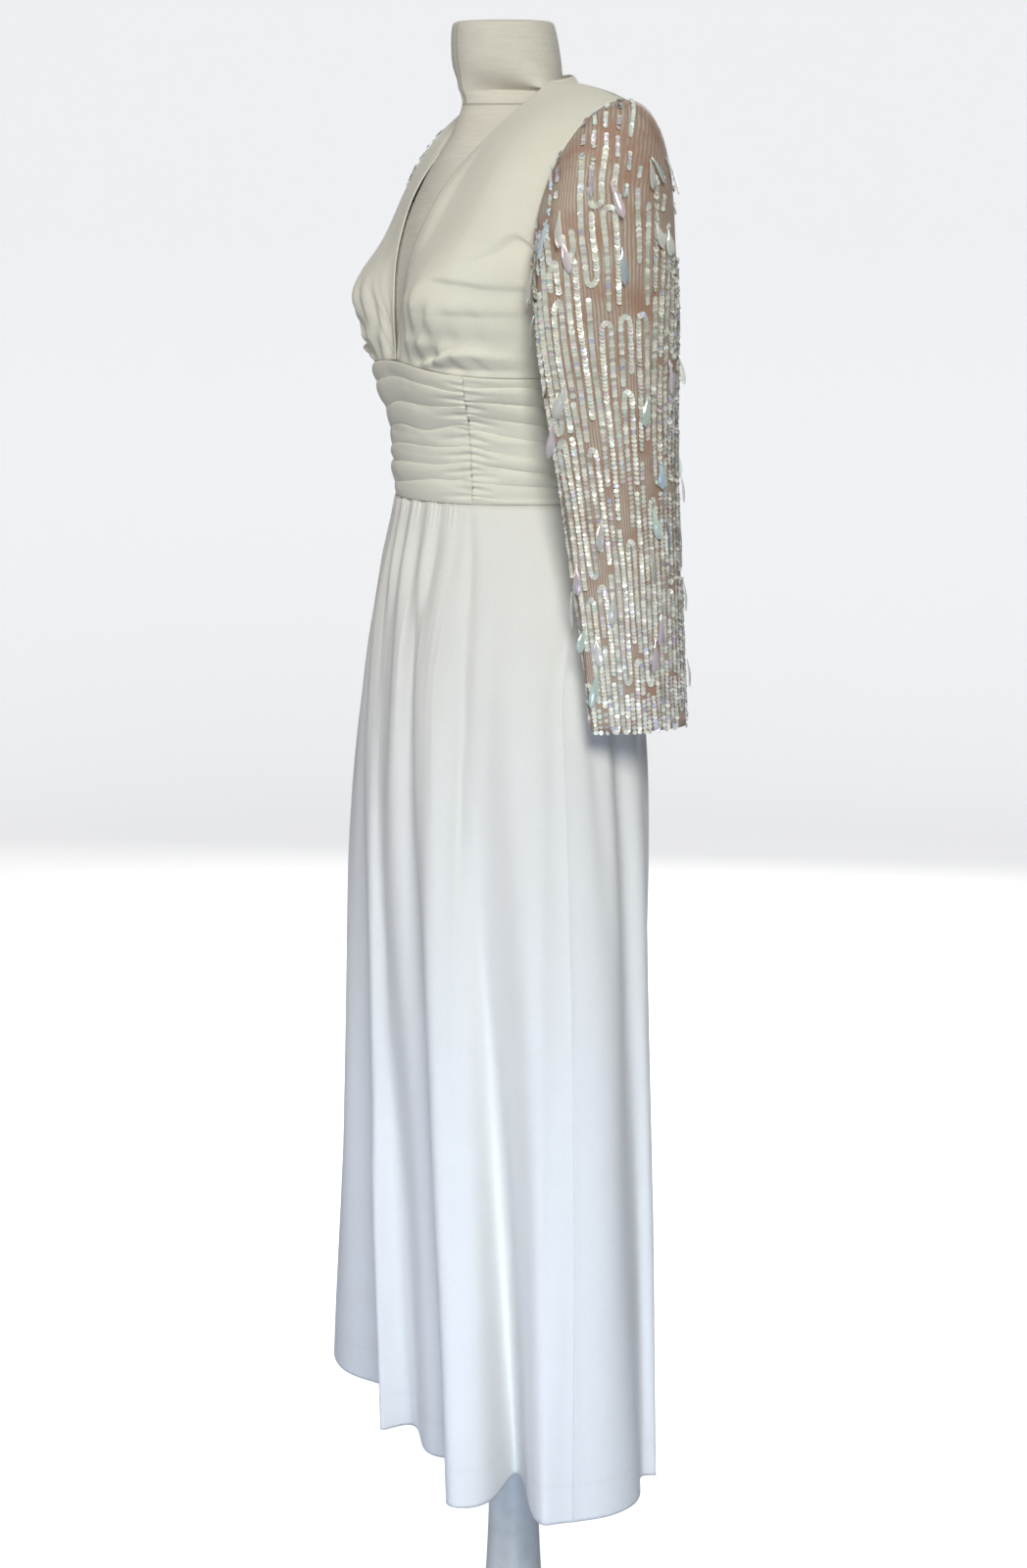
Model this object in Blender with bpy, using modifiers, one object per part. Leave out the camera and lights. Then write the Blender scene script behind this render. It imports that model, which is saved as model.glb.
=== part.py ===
"""A long jersey dress on a limbless dress form, built panel by panel at real size.

Metres, +Z up. The dress faces -Y, the wearer's left is +X, and the origin is on the floor
under the middle of the stand. Each cut piece of cloth is its own closed wall, a seam gap
away from its neighbours. A place on the body is given by an angle round it, 0 at the centre
front and 90 at the wearer's left, or by side (to the wearer's left) and front (forwards).
"""
import math

import bmesh
import bpy
import numpy as np

COLLECTION = "long_dress_on_form"

# Cloth
WALL = 0.0016
SEAM_GAP = 0.0003

# Heights of the garment above the floor
HEM_HEIGHT = 0.273
WAIST_HEIGHT = 1.306
BAND_TOP_HEIGHT = 1.432
BAND_TOP_RISE = 0.014

# Angles of the seams, in degrees from the centre front
SIDE_SEAM = 98
RUCHE_SEAM = 47

# Stand
BASE_RADIUS = 0.170
BASE_THICKNESS = 0.014
BASE_EDGE = 0.004
POLE_SIDES = 32
FORM_BOTTOM = 1.015

# Fitted midriff: height, half width, front reach, back reach
FITTED = (
    (1.306, 0.125, 0.122, 0.086),
    (1.370, 0.127, 0.127, 0.090),
    (1.446, 0.137, 0.134, 0.098),
)

# The band stands out over the ribs, either side of its middle
RIB_FULLNESS = 0.016
RIB_LOW = 1.372
RIB_RISE = 0.060

# Skirt without its folds: height, half width, front reach, back reach
SKIRT = (
    (0.273, 0.290, 0.165, 0.112),
    (0.560, 0.262, 0.164, 0.118),
    (0.780, 0.235, 0.163, 0.123),
    (1.060, 0.190, 0.157, 0.128),
    (1.200, 0.158, 0.142, 0.112),
    (1.306, 0.125, 0.122, 0.086),
)

# Hem folds: angle at the waist where the line starts, then side and front at the hem.
# Crests and valleys follow each other round the skirt.
HEM_FOLDS = (
    (-47, -0.272, 0.116),
    (-36, -0.200, 0.126),
    (-25, -0.125, 0.084),
    (-8, -0.032, 0.149),
    (4, -0.034, 0.102),
    (14, 0.045, 0.124),
    (24, 0.080, 0.088),
    (37, 0.172, 0.153),
    (45, 0.190, 0.118),
    (60, 0.124, 0.050),
    (78, 0.238, 0.078),
    (98, 0.258, 0.045),
    (106, 0.262, 0.000),
    (113, 0.238, -0.045),
    (121, 0.182, -0.066),
    (130, 0.194, -0.087),
    (141, 0.130, -0.084),
    (152, 0.080, -0.126),
    (164, 0.036, -0.088),
    (178, -0.016, -0.142),
    (193, -0.070, -0.086),
    (207, -0.135, -0.128),
    (221, -0.152, -0.070),
    (234, -0.236, -0.078),
    (248, -0.214, -0.016),
    (262, -0.284, 0.022),
    (290, -0.224, 0.058),
)
FOLD_POWER = 1.35

# How far the side seams swing forwards below the waist, in degrees
SEAM_SWING = 15
SWING_END = 0.2

# Gathers at the front waist, between the two ruched seams
GATHER_COUNT = 8
GATHER_DEPTH = 0.0040
GATHER_END = 0.50

# Ruched folds of the midriff band
RUCHE_COUNT = 7
RUCHE_DEPTH = 0.0042
RUCHE_WAVER = 0.16

# Neckline edge of a front: height, side, front
NECK_EDGE = (
    (1.446, 0.000, 0.134),
    (1.503, 0.012, 0.130),
    (1.557, 0.022, 0.1205),
    (1.610, 0.034, 0.0986),
    (1.650, 0.043, 0.0700),
    (1.677, 0.050, 0.0456),
    (1.699, 0.056, 0.0206),
    (1.716, 0.060, -0.0033),
    (1.722, 0.061, -0.0120),
)
BACK_NECK = (0.0, -0.0605, 1.731)

# Back at its centre line: height, reach
BACK_CENTRE = (
    (1.432, 0.0980),
    (1.500, 0.1050),
    (1.557, 0.1070),
    (1.610, 0.1040),
    (1.660, 0.0930),
    (1.700, 0.0780),
    (1.731, 0.0605),
)

BACK_BLEND_START = 0.70
BACK_BLEND_LOW = 0.20

# Armhole, an upright oval that leans back at the top
ARMHOLE_SIDE = 0.1585
ARMHOLE_SIDE_LEAN = 0.0085
ARMHOLE_FRONT = -0.024
ARMHOLE_HALF_FRONT = 0.064
ARMHOLE_FRONT_LEAN = -0.024
ARMHOLE_HEIGHT = 1.597
ARMHOLE_HALF_HEIGHT = 0.105
UNDERARM_SLANT = 0.1

# Rise of the shoulder seam's middle
SHOULDER_BOW = 0.0055

# Bust cups
BUST_SIDE = 0.092
BUST_HEIGHT = 1.505
BUST_DEPTH = 0.029
BUST_HALF_SIDE = 0.040
BUST_HALF_RISE = 0.034
BUST_HALF_FALL = 0.055
CHEST_HOLLOW = 0.0100
HOLLOW_SIDE = 0.075
HOLLOW_HEIGHT = 1.590
HOLLOW_HALF_SIDE = 0.032
HOLLOW_HALF_HEIGHT = 0.050
BUST_GATHERS = 6
BUST_GATHER_DEPTH = 0.0018

# Soft drag folds at the side of the bust: side, height and slope of the line through the
# fold's middle, its half length, its half width and its depth
DRAG_FOLDS = (
    (0.125, 1.470, -0.10, 0.050, 0.0075, 0.0030),
    (0.135, 1.515, -0.06, 0.030, 0.0070, 0.0024),
    (0.140, 1.560, -0.05, 0.024, 0.0070, 0.0016),
)

# Sleeve rings: side and height of the outer line, side and height of the inner line,
# front of the middle, half width from front to back, flatness (1 is an oval)
SLEEVE = (
    (0.167, 1.702, 0.150, 1.492, -0.0240, 0.0640, 1.00),
    (0.192, 1.694, 0.156, 1.478, -0.0200, 0.0690, 1.00),
    (0.214, 1.668, 0.161, 1.462, -0.0170, 0.0720, 1.05),
    (0.225, 1.624, 0.165, 1.440, -0.0150, 0.0740, 1.10),
    (0.228, 1.566, 0.168, 1.405, -0.0160, 0.0735, 1.20),
    (0.228, 1.480, 0.171, 1.360, -0.0200, 0.0700, 1.30),
    (0.228, 1.385, 0.174, 1.312, -0.0260, 0.0640, 1.35),
    (0.230, 1.275, 0.180, 1.248, -0.0330, 0.0590, 1.40),
    (0.234, 1.185, 0.190, 1.178, -0.0380, 0.0550, 1.40),
    (0.240, 1.090, 0.203, 1.090, -0.0420, 0.0520, 1.40),
)

# Dress form: height, half width, middle, front reach, back reach, then how far the neck
# and chest swell forwards and backwards, and the half width of that swell
FORM = (
    (1.015, 0.148, 0.000, 0.092, 0.102, 0.000, 0.000, 0.050),
    (1.024, 0.160, 0.000, 0.104, 0.114, 0.000, 0.000, 0.050),
    (1.100, 0.168, 0.000, 0.110, 0.119, 0.000, 0.000, 0.050),
    (1.200, 0.147, 0.000, 0.110, 0.100, 0.000, 0.000, 0.050),
    (1.306, 0.1190, 0.000, 0.1150, 0.0800, 0.000, 0.000, 0.050),
    (1.370, 0.1210, 0.000, 0.1200, 0.0840, 0.000, 0.000, 0.050),
    (1.432, 0.130, 0.000, 0.1285, 0.090, 0.000, 0.000, 0.050),
    (1.500, 0.140, 0.000, 0.1230, 0.097, 0.000, 0.000, 0.060),
    (1.557, 0.147, -0.004, 0.1130, 0.094, 0.009, 0.001, 0.090),
    (1.610, 0.151, -0.012, 0.0930, 0.080, 0.0205, 0.003, 0.060),
    (1.648, 0.154, -0.024, 0.0668, 0.052, 0.0396, 0.010, 0.060),
    (1.670, 0.155, -0.032, 0.0445, 0.030, 0.0560, 0.018, 0.048),
    (1.690, 0.153, -0.0380, 0.021, 0.012, 0.082, 0.022, 0.042),
    (1.698, 0.150, -0.0390, 0.012, 0.006, 0.093, 0.024, 0.036),
    (1.705, 0.136, -0.0350, 0.008, 0.004, 0.092, 0.024, 0.032),
    (1.7125, 0.108, -0.0260, 0.004, 0.002, 0.0885, 0.024, 0.028),
    (1.7145, 0.079, -0.0190, 0.002, 0.005, 0.082, 0.029, 0.025),
    (1.7155, 0.0556, -0.0105, 0.021, 0.031, 0.051, 0.013, 0.027),
    (1.730, 0.0575, 0.005, 0.0555, 0.0540, 0.000, 0.000, 0.045),
    (1.745, 0.0565, 0.008, 0.0565, 0.0565, 0.000, 0.000, 0.045),
    (1.776, 0.0535, 0.011, 0.0535, 0.0535, 0.000, 0.000, 0.045),
    (1.782, 0.0510, 0.011, 0.0510, 0.0510, 0.000, 0.000, 0.045),
    (1.783, 0.0470, 0.011, 0.0470, 0.0470, 0.000, 0.000, 0.045),
)
FORM_BUST_DEPTH = 0.026
FORM_BUST_RISE = 0.060
FORM_SIDES = 32

# Pole outline: height above the floor, radius
POLE = (
    (0.260, 0.0262),
    (0.150, 0.0285),
    (0.060, 0.0330),
)
POLE_TOP_RADIUS = 0.0240

# Grid of each wall
FRONT_COLUMNS = 24
SIDE_ROWS = 3
ARMHOLE_ROWS = 12
BACK_COLUMNS = 24
BAND_ROWS = 21
BAND_FRONT_COLUMNS = 16
BAND_BACK_COLUMNS = 24
SKIRT_FRONT_COLUMNS = 60
SKIRT_BACK_COLUMNS = 40
SKIRT_ROW_DROPS = (1.0, 0.84, 0.68, 0.53, 0.39, 0.27, 0.17, 0.09, 0.03, 0.0)


def table_at(table, key):
    """The later columns of a table at a value of its first column, on a smooth curve."""
    rows = np.array(sorted(table))
    knots = rows[:, 0]
    values = rows[:, 1:]
    slopes = np.gradient(values, knots, axis=0)
    key = np.clip(np.atleast_1d(key), knots[0], knots[-1])
    low = np.clip(np.searchsorted(knots, key) - 1, 0, len(knots) - 2)
    span = (knots[low + 1] - knots[low])[:, None]
    part = (key[:, None] - knots[low][:, None]) / span
    start = (1 + 2 * part) * (1 - part) ** 2 * values[low]
    start += part * (1 - part) ** 2 * span * slopes[low]
    end = part ** 2 * (3 - 2 * part) * values[low + 1]
    end += part ** 2 * (part - 1) * span * slopes[low + 1]
    return (start + end).T


def ease(value):
    """A smooth step from 0 to 1."""
    value = np.clip(value, 0, 1)
    return value * value * (3 - 2 * value)


def place(side, front, height):
    """Points from side, front and height."""
    side, front, height = np.broadcast_arrays(side, front, height)
    return np.stack([side, -front, height], axis=-1)


def outward(angle):
    """Level directions out from the body at angles in degrees."""
    turn = np.radians(angle)
    return place(np.sin(turn), np.cos(turn), np.zeros_like(turn))


def oval(angle, half_width, front, back):
    """Side and front on a section whose front and back halves have their own reach."""
    turn = np.radians(angle)
    reach = np.where(np.cos(turn) > 0, front, back)
    return half_width * np.sin(turn), reach * np.cos(turn)


def band_top(angle):
    """Height of the midriff band's upper edge, which rises to the centre front."""
    rise = np.clip(np.cos(np.radians(angle)), 0, 1) ** 4
    return BAND_TOP_HEIGHT + BAND_TOP_RISE * rise


def fitted(angle, height):
    """A point on the fitted midriff."""
    half_width, front, back = table_at(FITTED, height)
    side, forward = oval(angle, half_width, front, back)
    turn = np.radians(angle)
    ribs = RIB_FULLNESS * ease((height - RIB_LOW) / RIB_RISE)
    ribs = ribs * np.where(np.cos(turn) > 0, np.sin(2 * turn) ** 2, 0)
    return place(side + ribs * np.sin(turn), forward + ribs * np.cos(turn), height)


def ruche(angle, part):
    """How far the band's folds stand out, from 0 at its lower edge to 1 at its upper."""
    waver = RUCHE_WAVER * np.sin(np.radians(3.1 * angle)) * np.sin(math.pi * part)
    folds = np.abs(np.sin(math.pi * (RUCHE_COUNT * part + waver))) ** 0.7
    return RUCHE_DEPTH * folds * ease(part * 12) * ease((1 - part) * 12)


def band_grid(angles, rows):
    """Points of the midriff band, lower edge first."""
    grid = []
    for part in np.linspace(0, 1, rows + 1):
        height = WAIST_HEIGHT + part * (band_top(angles) - WAIST_HEIGHT)
        out = ruche(angles, part)[:, None]
        grid.append(fitted(angles, height) + out * outward(angles))
    return np.array(grid)


def hem_outline(angle):
    """Side and front of the hem where the line from a waist angle ends."""
    rows = []
    for turn in (-360, 0, 360):
        rows += [(start + turn, side, front) for start, side, front in HEM_FOLDS]
    return table_at(rows, angle)


def gathers(angle, drop):
    """Small gathers under the front of the band, which fade into the long folds."""
    inside = ease((RUCHE_SEAM - np.abs(angle)) / 8)
    turns = GATHER_COUNT * (angle + RUCHE_SEAM) / (2 * RUCHE_SEAM)
    uneven = 0.35 * np.sin(np.radians(7.3 * angle))
    grow = 0.45 + 0.55 * ease(drop / 0.07)
    fade = 1 - ease(drop / GATHER_END)
    return GATHER_DEPTH * inside * grow * fade * np.cos(2 * math.pi * turns + uneven)


def skirt_grid(angles, drops):
    """Points of the skirt for rows that drop from 0 at the waist to 1 at the hem."""
    hem_width, hem_front, hem_back = table_at(SKIRT, HEM_HEIGHT)
    swing = SEAM_SWING * np.sin(np.radians(angles))
    plain_side, plain_front = oval(angles - swing, hem_width, hem_front, hem_back)
    fold_side, fold_front = hem_outline(angles)
    grid = []
    for drop in drops:
        height = WAIST_HEIGHT - drop * (WAIST_HEIGHT - HEM_HEIGHT)
        half_width, front, back = table_at(SKIRT, height)
        swung = angles - swing * ease(drop / SWING_END)
        side, forward = oval(swung, half_width, front, back)
        share = drop ** FOLD_POWER
        side = side + share * (fold_side - plain_side)
        forward = forward + share * (fold_front - plain_front)
        out = gathers(angles, drop)[:, None]
        grid.append(place(side, forward, height) + out * outward(angles))
    return np.array(grid)


def armhole(angle):
    """A point on the left armhole: 0 at the shoulder tip, 90 at the front, 180 below."""
    turn = np.radians(angle)
    side = ARMHOLE_SIDE + ARMHOLE_SIDE_LEAN * np.cos(turn)
    front = ARMHOLE_FRONT + ARMHOLE_HALF_FRONT * np.sin(turn)
    front = front + ARMHOLE_FRONT_LEAN * np.cos(turn)
    height = ARMHOLE_HEIGHT + ARMHOLE_HALF_HEIGHT * np.cos(turn)
    return place(side, front, height)


def armhole_normal(angle):
    """The direction across the seam's thickness, the same for bodice and sleeve."""
    turn = np.radians(angle)
    slant = UNDERARM_SLANT * ease(-np.cos(turn))
    normal = place(slant, np.sin(turn) / ARMHOLE_HALF_FRONT * 0.08, np.cos(turn))
    return normal / np.linalg.norm(normal, axis=-1, keepdims=True)


def patch(bottom, top, left, right):
    """A surface stretched between four edges that meet at their corners."""
    across = np.linspace(0, 1, len(bottom))[None, :, None]
    up = np.linspace(0, 1, len(left))[:, None, None]
    ruled_up = (1 - up) * bottom[None] + up * top[None]
    ruled_across = (1 - across) * left[:, None] + across * right[:, None]
    low = (1 - across) * bottom[0] + across * bottom[-1]
    high = (1 - across) * top[0] + across * top[-1]
    return ruled_up + ruled_across - (1 - up) * low - up * high


def side_edge(way):
    """The side seam and then the armhole; way is 1 for a front and -1 for the back."""
    foot = fitted(np.array([SIDE_SEAM]), np.array([BAND_TOP_HEIGHT]))[0]
    underarm = armhole(np.array([180]))[0]
    steps = np.linspace(0, 1, SIDE_ROWS + 1)[:-1, None]
    seam = (1 - steps) * foot + steps * underarm
    turns = way * np.linspace(180, 0, ARMHOLE_ROWS + 1)
    normals = np.concatenate([
        np.repeat(outward(np.array([SIDE_SEAM])), SIDE_ROWS, axis=0),
        armhole_normal(turns),
    ])
    return np.concatenate([seam, armhole(turns)]), normals


def bust(side, height, depth):
    """How far a cup stands forwards at a place on the chest."""
    across = np.exp(-0.5 * ((np.abs(side) - BUST_SIDE) / BUST_HALF_SIDE) ** 2)
    half = np.where(height > BUST_HEIGHT, BUST_HALF_RISE, BUST_HALF_FALL)
    return depth * across * np.exp(-0.5 * ((height - BUST_HEIGHT) / half) ** 2)


def hollow(side, height):
    """How far the chest falls back between the neckline and the armhole."""
    across = np.exp(-0.5 * ((np.abs(side) - HOLLOW_SIDE) / HOLLOW_HALF_SIDE) ** 2)
    up = np.exp(-0.5 * ((height - HOLLOW_HEIGHT) / HOLLOW_HALF_HEIGHT) ** 2)
    return CHEST_HOLLOW * across * up


def drag_folds(side, height):
    """Depth of the soft folds that the sleeve drags across the side of the bust."""
    depth = np.zeros_like(side)
    for middle, level, slope, half_length, half_width, deep in DRAG_FOLDS:
        along = np.exp(-0.5 * ((side - middle) / half_length) ** 4)
        offset = height - level - slope * (side - middle)
        depth += deep * along * np.exp(-0.5 * (offset / half_width) ** 2)
    return depth


def shoulder_line(parts):
    """Points on the left shoulder seam, from the neck out to the armhole."""
    height, side, front = NECK_EDGE[-1]
    neck = place(side, front, height)
    tip = armhole(np.array([0]))[0]
    line = neck + parts[:, None] * (tip - neck)
    line[:, 2] += SHOULDER_BOW * np.sin(math.pi * parts)
    return line


def shoulder_normal():
    """Straight up, squared to the shoulder seam."""
    ends = shoulder_line(np.array([0.0, 1.0]))
    along = (ends[1] - ends[0]) / np.linalg.norm(ends[1] - ends[0])
    up = np.array([0.0, 0.0, 1.0])
    normal = up - along * along[2]
    return normal / np.linalg.norm(normal)


def bodice_front_grid(columns):
    """Points of the left front, its neckline first in each row."""
    angles = np.linspace(0, SIDE_SEAM, columns + 1)
    bottom = fitted(angles, band_top(angles))
    right, right_normals = side_edge(1)
    rows = len(right)
    heights = np.linspace(NECK_EDGE[0][0], NECK_EDGE[-1][0], rows)
    neck_side, neck_front = table_at(NECK_EDGE, heights)
    left = place(neck_side, neck_front, heights)
    top = shoulder_line(np.linspace(0, 1, columns + 1))
    grid = patch(bottom, top, left, right)
    across = np.linspace(0, 1, columns + 1)[None, :]
    up = np.linspace(0, 1, rows)[:, None]
    inside = ease(across / 0.16) * ease((1 - across) / 0.12)
    cup = bust(grid[..., 0], grid[..., 2], BUST_DEPTH) * inside * ease(up / 0.10)
    cup = cup - hollow(grid[..., 0], grid[..., 2]) * inside * ease((0.97 - up) / 0.3)
    near_band = ease(up / 0.03) * (1 - ease(up / 0.42)) * (1 - ease((across - 0.5) / 0.2))
    fold = np.cos(2 * math.pi * BUST_GATHERS * across / 0.6) * ease(across / 0.06)
    cup = cup + BUST_GATHER_DEPTH * near_band * fold
    cup = cup - drag_folds(grid[..., 0], grid[..., 2]) * ease((1 - across) / 0.08) * ease(up / 0.06)
    grid[..., 1] -= cup
    grid[..., 0] += 0.15 * cup
    return grid, angles, right_normals


def bodice_back_grid(columns):
    """Points of the back, from the wearer's left to right, with the back neckline."""
    angles = np.linspace(SIDE_SEAM, 360 - SIDE_SEAM, columns + 1)
    bottom = fitted(angles, band_top(angles))
    left, left_normals = side_edge(-1)
    flip = np.array([-1, 1, 1])
    third = columns // 3
    shoulder = shoulder_line(np.linspace(1, 0, third + 1))
    neck = shoulder[-1]
    turns = np.linspace(0, math.pi / 2, third // 2 + 1)[1:, None]
    nape = np.array([0, -BACK_NECK[1], BACK_NECK[2]])
    curve = nape + (neck - nape) * np.array([1, 0, 0]) * np.cos(turns)
    curve = curve + (neck - nape) * np.array([0, 1, 1]) * (1 - np.sin(turns))
    half = np.concatenate([shoulder, curve])
    top = np.concatenate([half, half[:-1][::-1] * flip])
    up = np.linspace(0, 1, len(left))
    heights = bottom[columns // 2, 2] + up * (nape[2] - bottom[columns // 2, 2])
    centre = place(0, -table_at(BACK_CENTRE, heights)[0], heights)
    turn = np.linspace(-math.pi / 2, math.pi / 2, columns + 1)[None, :, None]
    edge = np.where(turn < 0, left[:, None], (left * flip)[:, None])
    level = np.array([0, 1, 1])
    sweep = edge + (centre[:, None] - edge) * level * np.cos(turn)
    sweep[..., 0] = left[:, None, 0] * -np.sin(turn[..., 0])
    share = ease((up - BACK_BLEND_START) / (1 - BACK_BLEND_START))[:, None, None]
    low = ease(up / BACK_BLEND_LOW)[:, None, None]
    grid = (1 - share) * sweep + share * top[None]
    grid = grid + (1 - low) * (bottom - sweep[0])[None]
    return grid, angles, left_normals


def sleeve_grid(sides):
    """Rings of the left sleeve from the armhole down to the cuff."""
    angles = np.linspace(0, 360, sides + 1)[:-1]
    turn = np.radians(angles)
    grid = []
    for row, ring in enumerate(SLEEVE):
        out_side, out_height, in_side, in_height, middle, half_front, flat = ring
        swing = np.sign(np.cos(turn)) * np.abs(np.cos(turn)) ** flat
        side = (out_side + in_side) / 2 + (out_side - in_side) / 2 * swing
        height = (out_height + in_height) / 2 + (out_height - in_height) / 2 * swing
        lean = ARMHOLE_FRONT_LEAN * max(0, 1 - row / 3)
        front = middle + half_front * np.sin(turn) + lean * np.cos(turn)
        grid.append(place(side, front, height))
    grid = np.array(grid)
    grid[0, :, 0] += SEAM_GAP
    return grid, armhole_normal(angles)


def form_grid():
    """Rings of the dress form from its underside to the top of its neck."""
    angles = np.linspace(0, 360, FORM_SIDES + 1)[:-1]
    turn = np.radians(angles)
    grid = []
    for height, half_width, middle, front, back, swell_front, swell_back, width in FORM:
        side = half_width * np.sin(turn)
        reach = np.where(np.cos(turn) > 0, front, back)
        swell = np.where(np.cos(turn) > 0, swell_front, swell_back)
        reach = reach + swell * np.exp(-0.5 * (side / width) ** 2)
        forward = middle + reach * np.cos(turn)
        chest = bust(side, np.full_like(side, height), FORM_BUST_DEPTH)
        chest = chest * ease((height - BAND_TOP_HEIGHT) / FORM_BUST_RISE)
        forward = forward + np.where(np.cos(turn) > 0, chest, 0) * ease(np.cos(turn) * 3)
        grid.append(place(side, forward, height))
    return np.array(grid)


def inset(grid, rows=(), columns=()):
    """Draws the named edge rows and columns back by half a seam gap."""
    for edge in rows:
        inner = edge + 1 if edge == 0 else edge - 1
        step = grid[inner] - grid[edge]
        grid[edge] += step / np.linalg.norm(step, axis=-1, keepdims=True) * SEAM_GAP / 2
    for edge in columns:
        inner = edge + 1 if edge == 0 else edge - 1
        step = grid[:, inner] - grid[:, edge]
        grid[:, edge] += step / np.linalg.norm(step, axis=-1, keepdims=True) * SEAM_GAP / 2
    return grid


def grid_normals(grid, closed):
    """Outward directions at the points of a grid whose rows run up."""
    if closed:
        across = np.roll(grid, -1, axis=1) - np.roll(grid, 1, axis=1)
    else:
        across = np.gradient(grid, axis=1)
    up = np.gradient(grid, axis=0)
    normals = np.cross(across, up)
    return normals / np.linalg.norm(normals, axis=-1, keepdims=True)


def seam_normals(angle, drops):
    """Outward directions down a side seam, shared by the skirt's two panels."""
    beside = skirt_grid(np.array([angle - 1.0, angle, angle + 1.0]), drops)
    return grid_normals(beside, False)[:, 1]


def make_object(name, points, faces, colour, roughness, metallic=0.0):
    """One closed piece with its own material."""
    mesh = bpy.data.meshes.new(name)
    mesh.from_pydata(points, [], faces)
    work = bmesh.new()
    work.from_mesh(mesh)
    if work.calc_volume(signed=True) < 0:
        bmesh.ops.reverse_faces(work, faces=work.faces)
    work.to_mesh(mesh)
    work.free()
    piece = bpy.data.objects.new(name, mesh)
    bpy.data.collections[COLLECTION].objects.link(piece)
    finish(piece, colour, roughness, metallic)
    mesh.shade_smooth()
    return piece


def finish(piece, colour, roughness, metallic=0.0):
    """Gives a piece its Principled material."""
    material = bpy.data.materials.new(piece.name)
    material.use_nodes = True
    shader = material.node_tree.nodes["Principled BSDF"]
    shader.inputs["Base Color"].default_value = (*colour, 1.0)
    shader.inputs["Roughness"].default_value = roughness
    shader.inputs["Metallic"].default_value = metallic
    piece.data.materials.append(material)


def cloth_wall(name, grid, normals, colour, closed=False, mirrored=False):
    """A closed wall of cloth whose outer side is the grid, loft by loft."""
    inner = grid - WALL * normals
    if mirrored:
        flip = np.array([-1, 1, 1])
        grid = grid * flip
        inner = inner * flip
    rows, columns = grid.shape[:2]
    points = [tuple(point) for point in np.concatenate([grid, inner]).reshape(-1, 3)]
    under = rows * columns
    faces = []
    steps = columns if closed else columns - 1
    for row in range(rows - 1):
        for column in range(steps):
            beside = (column + 1) % columns
            near = row * columns + column
            far = row * columns + beside
            faces.append((near, far, far + columns, near + columns))
            faces.append((near + under, near + columns + under, far + columns + under, far + under))
    edge = []
    last = (rows - 1) * columns
    for column in range(steps):
        beside = (column + 1) % columns
        edge.append((column, beside))
        edge.append((last + beside, last + column))
    if not closed:
        for row in range(rows - 1):
            start = row * columns
            edge.append((start + columns, start))
            edge.append((start + columns - 1, start + 2 * columns - 1))
    for start, end in edge:
        faces.append((end, start, start + under, end + under))
    return make_object(name, points, faces, colour, 0.85)


def build_bodice():
    ivory = (0.80, 0.79, 0.71)
    grid, angles, edge_normals = bodice_front_grid(FRONT_COLUMNS)
    normals = grid_normals(grid, False)
    normals[0] = outward(angles)
    normals[-1] = shoulder_normal()
    normals[:, -1] = edge_normals
    grid[:, 0, 0] = np.maximum(grid[:, 0, 0], SEAM_GAP / 2)
    seamed = inset(grid.copy(), columns=(-1,))
    grid[:SIDE_ROWS + 1, -1] = seamed[:SIDE_ROWS + 1, -1]
    grid[-1] = inset(grid.copy(), rows=(-1,))[-1]
    grid[0, :, 2] += SEAM_GAP
    cloth_wall("bodice_front_left", grid, normals, ivory)
    cloth_wall("bodice_front_right", grid, normals, ivory, mirrored=True)

    grid, angles, edge_normals = bodice_back_grid(BACK_COLUMNS)
    normals = grid_normals(grid, False)
    third = BACK_COLUMNS // 3
    normals[0] = outward(angles)
    normals[-1, :third + 1] = shoulder_normal()
    normals[-1, -third - 1:] = shoulder_normal() * np.array([-1, 1, 1])
    normals[:, 0] = edge_normals
    normals[:, -1] = edge_normals * np.array([-1, 1, 1])
    seamed = inset(grid.copy(), columns=(0, -1))
    grid[:SIDE_ROWS + 1, 0] = seamed[:SIDE_ROWS + 1, 0]
    grid[:SIDE_ROWS + 1, -1] = seamed[:SIDE_ROWS + 1, -1]
    grid[-1] = inset(grid.copy(), rows=(-1,))[-1]
    grid[0, :, 2] += SEAM_GAP
    cloth_wall("bodice_back", grid, normals, ivory)


def build_band():
    ivory = (0.78, 0.76, 0.68)
    spans = (
        ("midriff_front", -RUCHE_SEAM, RUCHE_SEAM, BAND_FRONT_COLUMNS),
        ("midriff_back", RUCHE_SEAM, 360 - RUCHE_SEAM, BAND_BACK_COLUMNS),
    )
    for name, start, end, columns in spans:
        angles = np.linspace(start, end, columns + 1)
        grid = band_grid(angles, BAND_ROWS)
        normals = grid_normals(grid, False)
        for edge in (0, -1):
            normals[edge] = outward(angles)
            normals[:, edge] = outward(angles[edge:][:1])
        cloth_wall(name, inset(grid, columns=(0, -1)), normals, ivory)


def build_skirt():
    ivory = (0.82, 0.82, 0.80)
    spans = (
        ("skirt_front", -SIDE_SEAM, SIDE_SEAM, SKIRT_FRONT_COLUMNS),
        ("skirt_back", SIDE_SEAM, 360 - SIDE_SEAM, SKIRT_BACK_COLUMNS),
    )
    for name, start, end, columns in spans:
        angles = np.linspace(start, end, columns + 1)
        grid = skirt_grid(angles, SKIRT_ROW_DROPS)
        normals = grid_normals(grid, False)
        normals[:, 0] = seam_normals(start, SKIRT_ROW_DROPS)
        normals[:, -1] = seam_normals(end, SKIRT_ROW_DROPS)
        normals[-1] = outward(angles)
        grid[-1, :, 2] -= SEAM_GAP
        cloth_wall(name, inset(grid, columns=(0, -1)), normals, ivory)


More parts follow.
